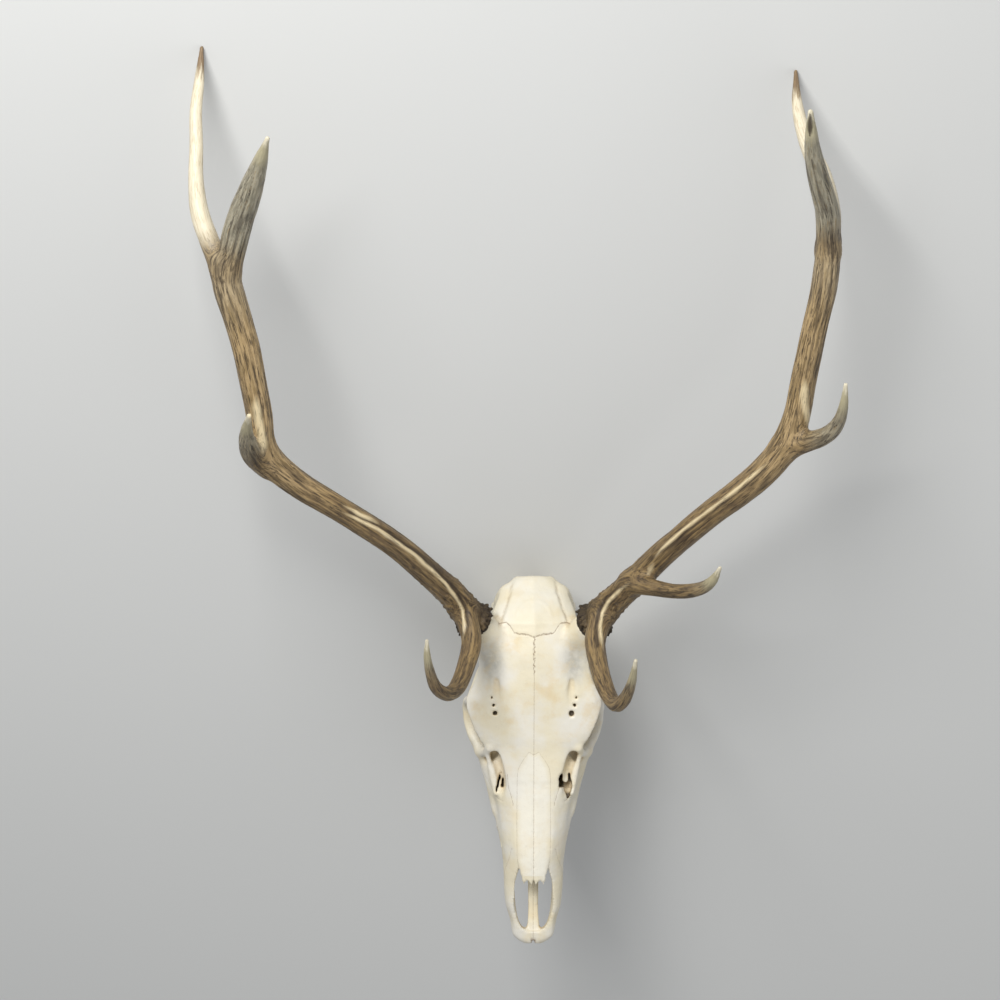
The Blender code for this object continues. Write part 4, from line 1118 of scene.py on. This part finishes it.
def addBurr(field, beam, seed):
    # a crown of short spikes round the antler's root, and knobs that thin out up the beam
    rng = np.random.default_rng(seed)
    path = finePath(beam, 0.004)
    along, first, second = carriedFrame(path)
    for row in antlerForm["spikeRows"]:
        for turn in np.linspace(0, 2 * math.pi, antlerForm["spikes"], endpoint=False):
            turn += rng.uniform(-0.05, 0.05)
            out = first[0] * math.cos(turn) + second[0] * math.sin(turn)
            reach = antlerForm["burrRadius"] + rng.uniform(-0.0010, 0.0022) - row * 0.20
            foot = path[0, :3] + along[0] * (row + 0.004) + out * 0.0150
            end = path[0, :3] + along[0] * (row + rng.uniform(-0.001, 0.001)) + out * reach
            addBar(field, ((*foot, 0.0030), (*end, rng.uniform(0.0014, 0.0022))), 0.0008, spacing=straight)
    for _ in range(antlerForm["pearls"]):
        i = int(2 + 26 * rng.uniform() ** 1.7)
        turn = rng.uniform(0, 2 * math.pi)
        out = first[i] * math.cos(turn) + second[i] * math.sin(turn)
        size = rng.uniform(0.0011, 0.0024) * (1.2 - i / 36)
        addBall(field, path[i, :3] + out * (path[i, 3] - 0.0001), (size,) * 3, 0.0014)


def grooveHeight(turnU, turnV, along, radius, seed):
    # long grooves where noise that changes fast round the antler and slowly along it is near 0:
    # 0.22 - 0.75 max(1 - |a| / 0.36, 0)^1.3 - 0.40 max(1 - |b| / 0.45, 0)
    around = np.stack([turnU * radius, turnV * radius], 1)
    broad = latticeNoise(np.column_stack([around / 0.0052, along / 0.12]) + 40, seed)
    narrow = latticeNoise(np.column_stack([around / 0.0027, along / 0.07]) + 90, seed + 1)
    wideGrooves = np.clip(1 - np.abs(broad) / 0.36, 0, 1) ** 1.3
    return 0.22 - 0.75 * wideGrooves - 0.40 * np.clip(1 - np.abs(narrow) / 0.45, 0, 1)


def greyShare(name, along, fromFork, fromTip):
    # grey rises from the fork on the front and third tines, toward the top on the beam and at the other tips
    rise = {"topFront": (0.004, 0.055, 1.0), "third": (0.020, 0.085, 0.75)}
    if name in rise:
        start, end, most = rise[name]
        return most * smoothStep(start, end, fromFork)
    if name == "beam":
        return 0.60 * smoothStep(0.500, 0.620, along)
    return 0 if name == "topRear" else 0.55 * smoothStep(0.08, 0.0, fromTip)


def makeAntler(word, material):
    routes = antlerRoutes[word]
    every = np.vstack([np.array(route) for route in routes.values()])
    field = makeField(every[:, :3].min(0) - 0.030, every[:, :3].max(0) + 0.030, antlerForm["step"])
    for name, route in routes.items():
        addBar(field, route, antlerForm["fork"].get(name, antlerForm["plainFork"]))
    seed = 11 if word == "left" else 5
    addBurr(field, routes["beam"], seed)
    points, quads = skinOf(field)
    points = relaxed(points, quads, 1)
    normals = vertexNormals(points, quads)
    beam = finePath(routes["beam"], 0.003)
    beamAcross = carriedFrame(beam)[1]
    beamLengths = lengthsOf(beam)
    total = np.zeros(len(points))
    names = ("height", "tip", "root", "cream", "grey", "golden")
    mixed = {key: np.zeros(len(points)) for key in names}
    grain = np.zeros((len(points), 3))
    for name, route in routes.items():
        path = finePath(route, 0.003)
        foot = ((beam[:, :3] - path[0, :3]) ** 2).sum(1).argmin()
        along, gap, radius, turnU, turnV = alongRoute(points, path, beamAcross[foot])
        fromTip = lengthsOf(path)[-1] - along
        along = along + beamLengths[foot]
        onSide = 1e-4 + smoothStep(0.40, 0.90, gap / radius)
        weight = np.exp(-np.maximum(gap - radius, 0) / 0.004) * onSide + 1e-9
        isBeam = name == "beam"
        smoothTip = 0.25 + 0.75 * smoothStep(0.01, 0.10, fromTip)
        strength = 1.0 if isBeam else smoothTip * {"topRear": 0.35, "brow": 0.7, "bez": 0.7}.get(name, 1.0)
        values = {
            "height": antlerForm["grooveDepth"] * strength * grooveHeight(turnU, turnV, along, radius, seed),
            "tip": 0 if isBeam else smoothStep(0.060, 0.0, fromTip),
            "root": smoothStep(0.050, 0.014, along) if isBeam else 0,
            "cream": smoothStep(0.012, 0.050, along - beamLengths[foot]) if name == "topRear" else 0,
            "grey": greyShare(name, along, along - beamLengths[foot], fromTip),
            "golden": smoothStep(0.24, 0.36, along) * smoothStep(0.70, 0.56, along) if isBeam else 0,
        }
        for key in names:
            mixed[key] += weight * values[key]
        total += weight
        grain += weight[:, None] * np.stack([turnU * radius, turnV * radius, along * 0.10], 1)
    for key in names:
        mixed[key] = mixed[key] / total
    front = smoothStep(-0.1, 0.45, normals[:, 2])
    # a pale raised ridge along each polish line, partly rubbed paleness and partly a painted highlight, and
    # beside it a trough that the colour darkens as painted shade
    polish_and_highlight = np.zeros(len(points))
    shaded_trough = np.zeros(len(points))
    for corners, width in polishHighlightLines[word]:
        gap, side, ends = lineGap(points + 0.0005 * latticeNoise(points / 0.014, seed)[:, None], corners)
        taper = smoothStep(-0.002, 0.024, ends) if width < 0.003 else smoothStep(-0.006, 0.012, ends)
        wide = width * (0.35 + 0.65 * taper) * (1 + 0.35 * latticeNoise(points / 0.013, seed + 3))
        polish_and_highlight = np.maximum(polish_and_highlight, front * taper * smoothStep(wide * 1.7, wide * 0.2, gap))
        outer = side * (1 if word == "right" else -1)
        beside = np.exp(-((gap - width * 2.4) / width) ** 2) * (outer > 0) * (width < 0.003)
        shaded_trough = np.maximum(shaded_trough, front * taper * beside)
    height = mixed.pop("height") + 0.00012 * layeredNoise(points / 0.004, seed, 2)
    height = height * (1 - 0.6 * polish_and_highlight) + antlerForm["ridgeHeight"] * (polish_and_highlight - 0.8 * shaded_trough)
    moved = points + normals * height[:, None]
    # painted shade of a hollow near the tip of the left front tine
    gap, side, ends = lineGap(points, hollowTipShade)
    wide = 0.0010 + 0.0028 * smoothStep(-0.002, 0.008, ends)
    mixed["hollow_shade"] = front * smoothStep(wide, wide * 0.35, gap) * (word == "left")
    mixed["polish_and_highlight"] = polish_and_highlight
    mixed["shaded_trough"] = shaded_trough
    mixed["groove"] = height / 0.001
    mixed["grain"] = grain / total[:, None]
    mixed["place"] = moved
    nodes = [f"{word}_lower_beam", f"{word}_upper_beam"]
    nodes += [f"{word}_{nodeOfRoute[name]}" for name in routes if name != "beam"]
    makePiece(f"{word}_antler", moved, quads, nodes, mixed, material)


antlerLook = {
    "brown": "#69553A", "brownLight": "#90784F", "golden": "#BBA075", "goldenDark": "#8F7850",
    "dark": "#2D2116", "burr": "#1D140B", "ivory": "#E0D7BE", "grey": "#948F7C", "greyLight": "#B8B19B",
    "tine": "#AFA686", "cream": "#D9CEB4", "creamDark": "#A8946E", "tipBrown": "#806A50", "polish_and_highlight": "#E2CFA6",
    "bump": (0.0007, 0.8),
}


def antlerMaterial():
    # polished antler: brown with long dark streaks in its grooves, tan on its ridges, ivory at its tips; a
    # painted highlight along the polished ridges, painted shade in the trough beside them and in a hollow
    # near one tip
    antler = Paint("polished_antler_streaked", antlerLook, "brown")
    place = antler.attribute("place", "Vector")
    grain = antler.attribute("grain", "Vector")
    names = ("groove", "tip", "root", "cream", "grey", "golden", "polish_and_highlight", "shaded_trough", "hollow_shade")
    groove, tip, root, cream, grey, golden, polish_and_highlight, shaded_trough, hollow_shade = map(antler.attribute, names)
    longer = addNode(antler.tree, "ShaderNodeVectorMath", {0: grain, 1: (1, 1, 0.3)}, operation="MULTIPLY")
    streak = antler.noise(grain, 640, 4, 0.62)
    wide = antler.noise(grain, 360, 3, 0.6)
    contour = abs(antler.noise(Value(longer.outputs[0]), 370, 2, 0.5) - 0.5)
    lines = contour.span(0.040, 0.006) * antler.noise(grain, 130, 3, 0.6).span(0.40, 0.54)
    # the ground colour of each region
    antler.layer(wide.span(0.34, 0.66), "brownLight")
    antler.layer(golden * 0.8, antler.mixed(wide.span(0.60, 0.36), "golden", "goldenDark"))
    antler.layer(grey * 0.85, antler.mixed(wide.span(0.38, 0.64), "grey", "greyLight"))
    # blotches, streaks, fine lines and grooves; grey tines have less of the first and third
    notGrey = 1 - grey * 0.8
    antler.layer(antler.noise(place, 24, 4, 0.6).span(0.52, 0.74, 0, 0.34) * notGrey, "dark")
    antler.layer(streak.span(0.54, 0.66, 0, 0.60), "brownLight")
    antler.layer(streak.span(0.47, 0.37, 0, 0.78) * notGrey, "dark")
    antler.layer(lines * 0.78, "dark")
    antler.layer(groove.span(-0.20, -0.70, 0, 0.55), "dark")
    # cream rear tines with a brown end
    creamy = antler.mixed(streak.span(0.50, 0.34, 0, 0.55), "cream", "creamDark")
    creamy = antler.mixed(wide.span(0.56, 0.72, 0, 0.5), creamy, "creamDark")
    towardTip = tip + wide
    antler.layer(cream * towardTip.span(1.35, 0.75), creamy)
    antler.layer(cream * towardTip.span(0.75, 1.45) * streak.span(0.66, 0.42, 0.40, 1), "tipBrown")
    # the pale ends of the other tines
    plain = 1 - cream
    frayed = tip + (streak - 0.5) * 0.35
    antler.layer(plain * frayed.span(0.15, 0.75, 0, 0.85), "tine")
    antler.layer(plain * frayed.span(0.88, 1.02, 0, 0.85), "ivory")
    antler.layer(root * 0.90, "burr")
    # painted shade in the trough beside each polished ridge
    antler.layer(shaded_trough * 0.48, "dark")
    # pale along the polished ridges: partly rubbed paleness, partly a painted highlight
    antler.layer(polish_and_highlight * streak.span(0.32, 0.48, 0.45, 0.95), "polish_and_highlight")
    antler.layer(root * antler.noise(place, 420, 2).span(0.60, 0.72, 0, 0.35), "brownLight")
    # painted shade of the hollow near the left front tip
    antler.layer(hollow_shade * 0.9, "dark")
    roughness = groove.span(-0.4, 0.3, 0.58, 0.38) - polish_and_highlight * 0.10 + root * 0.38
    height = streak * 0.9 + antler.noise(place, 1100, 3, 0.6) * 0.15 - lines * 0.4
    return antler.finished(roughness, height, *antlerLook["bump"])


# Stage, light and camera

stageLook = {
    "floor": "#CFCFCC", "floorRoughness": 0.9, "floorSize": 8.0, "floorGap": 0.0005,
    "world": "#F7FAFF", "worldStrength": 0.37,
}
# place, the point that it shines at, power in watts and width
lights = {
    "key": ((-0.7, 2.3, 1.6), (0, -0.1, 0.1), 84.0, 1.2),
    "fill": ((1.6, -0.6, 2.0), (0, 0, 0.1), 9.0, 1.8),
}
photoView = {
    "place": (-0.040, 0.536, 3.5), "pixelsToLens": 2881, "framePixels": 1000, "sensor": 36, "reach": 50,
}


def makeStage():
    floor = Paint("pale_floor", stageLook, "floor").finished(stageLook["floorRoughness"])
    level = cadBox[0].z - stageLook["floorGap"]
    bpy.ops.mesh.primitive_plane_add(size=stageLook["floorSize"], location=(0, 0, level))
    plane = bpy.context.object
    plane.name = "floor"
    plane.data.materials.append(floor)


def makeLight(name, place, target, power, size):
    lamp = bpy.data.lights.new(name, "AREA")
    lamp.energy = power
    lamp.size = size
    light = bpy.data.objects.new(name, lamp)
    bpy.context.scene.collection.objects.link(light)
    light.location = place
    light.rotation_euler = (Vector(place) - Vector(target)).to_track_quat("Z", "Y").to_euler()


def makeCamera():
    # the photograph's camera looks straight down on the skull's own frame
    camera = bpy.data.objects.new("camera", bpy.data.cameras.new("camera"))
    bpy.context.scene.collection.objects.link(camera)
    camera.data.sensor_width = photoView["sensor"]
    camera.data.lens = photoView["sensor"] * photoView["pixelsToLens"] / photoView["framePixels"]
    camera.data.clip_end = photoView["reach"]
    camera.matrix_world = restMatrix @ Matrix.Translation(photoView["place"])
    bpy.context.scene.camera = camera


def makeWorld():
    world = bpy.data.worlds.new("studio")
    world.use_nodes = True
    feed(world.node_tree.nodes["Background"],
         {"Color": linear(stageLook["world"]), "Strength": stageLook["worldStrength"]})
    bpy.context.scene.world = world


def build():
    bpy.context.scene.view_settings.view_transform = "Standard"
    makeSkull(boneMaterial())
    enamel = toothMaterial()
    for side in (1, -1):
        for name, middle, halfWidth, halfLength, lobes in teeth:
            makeTooth(name, middle, halfWidth, halfLength, lobes, side, enamel)
    antler = antlerMaterial()
    for word in ("right", "left"):
        makeAntler(word, antler)
    makeStage()
    makeWorld()
    for name, settings in lights.items():
        makeLight(name, *settings)
    makeCamera()


build()
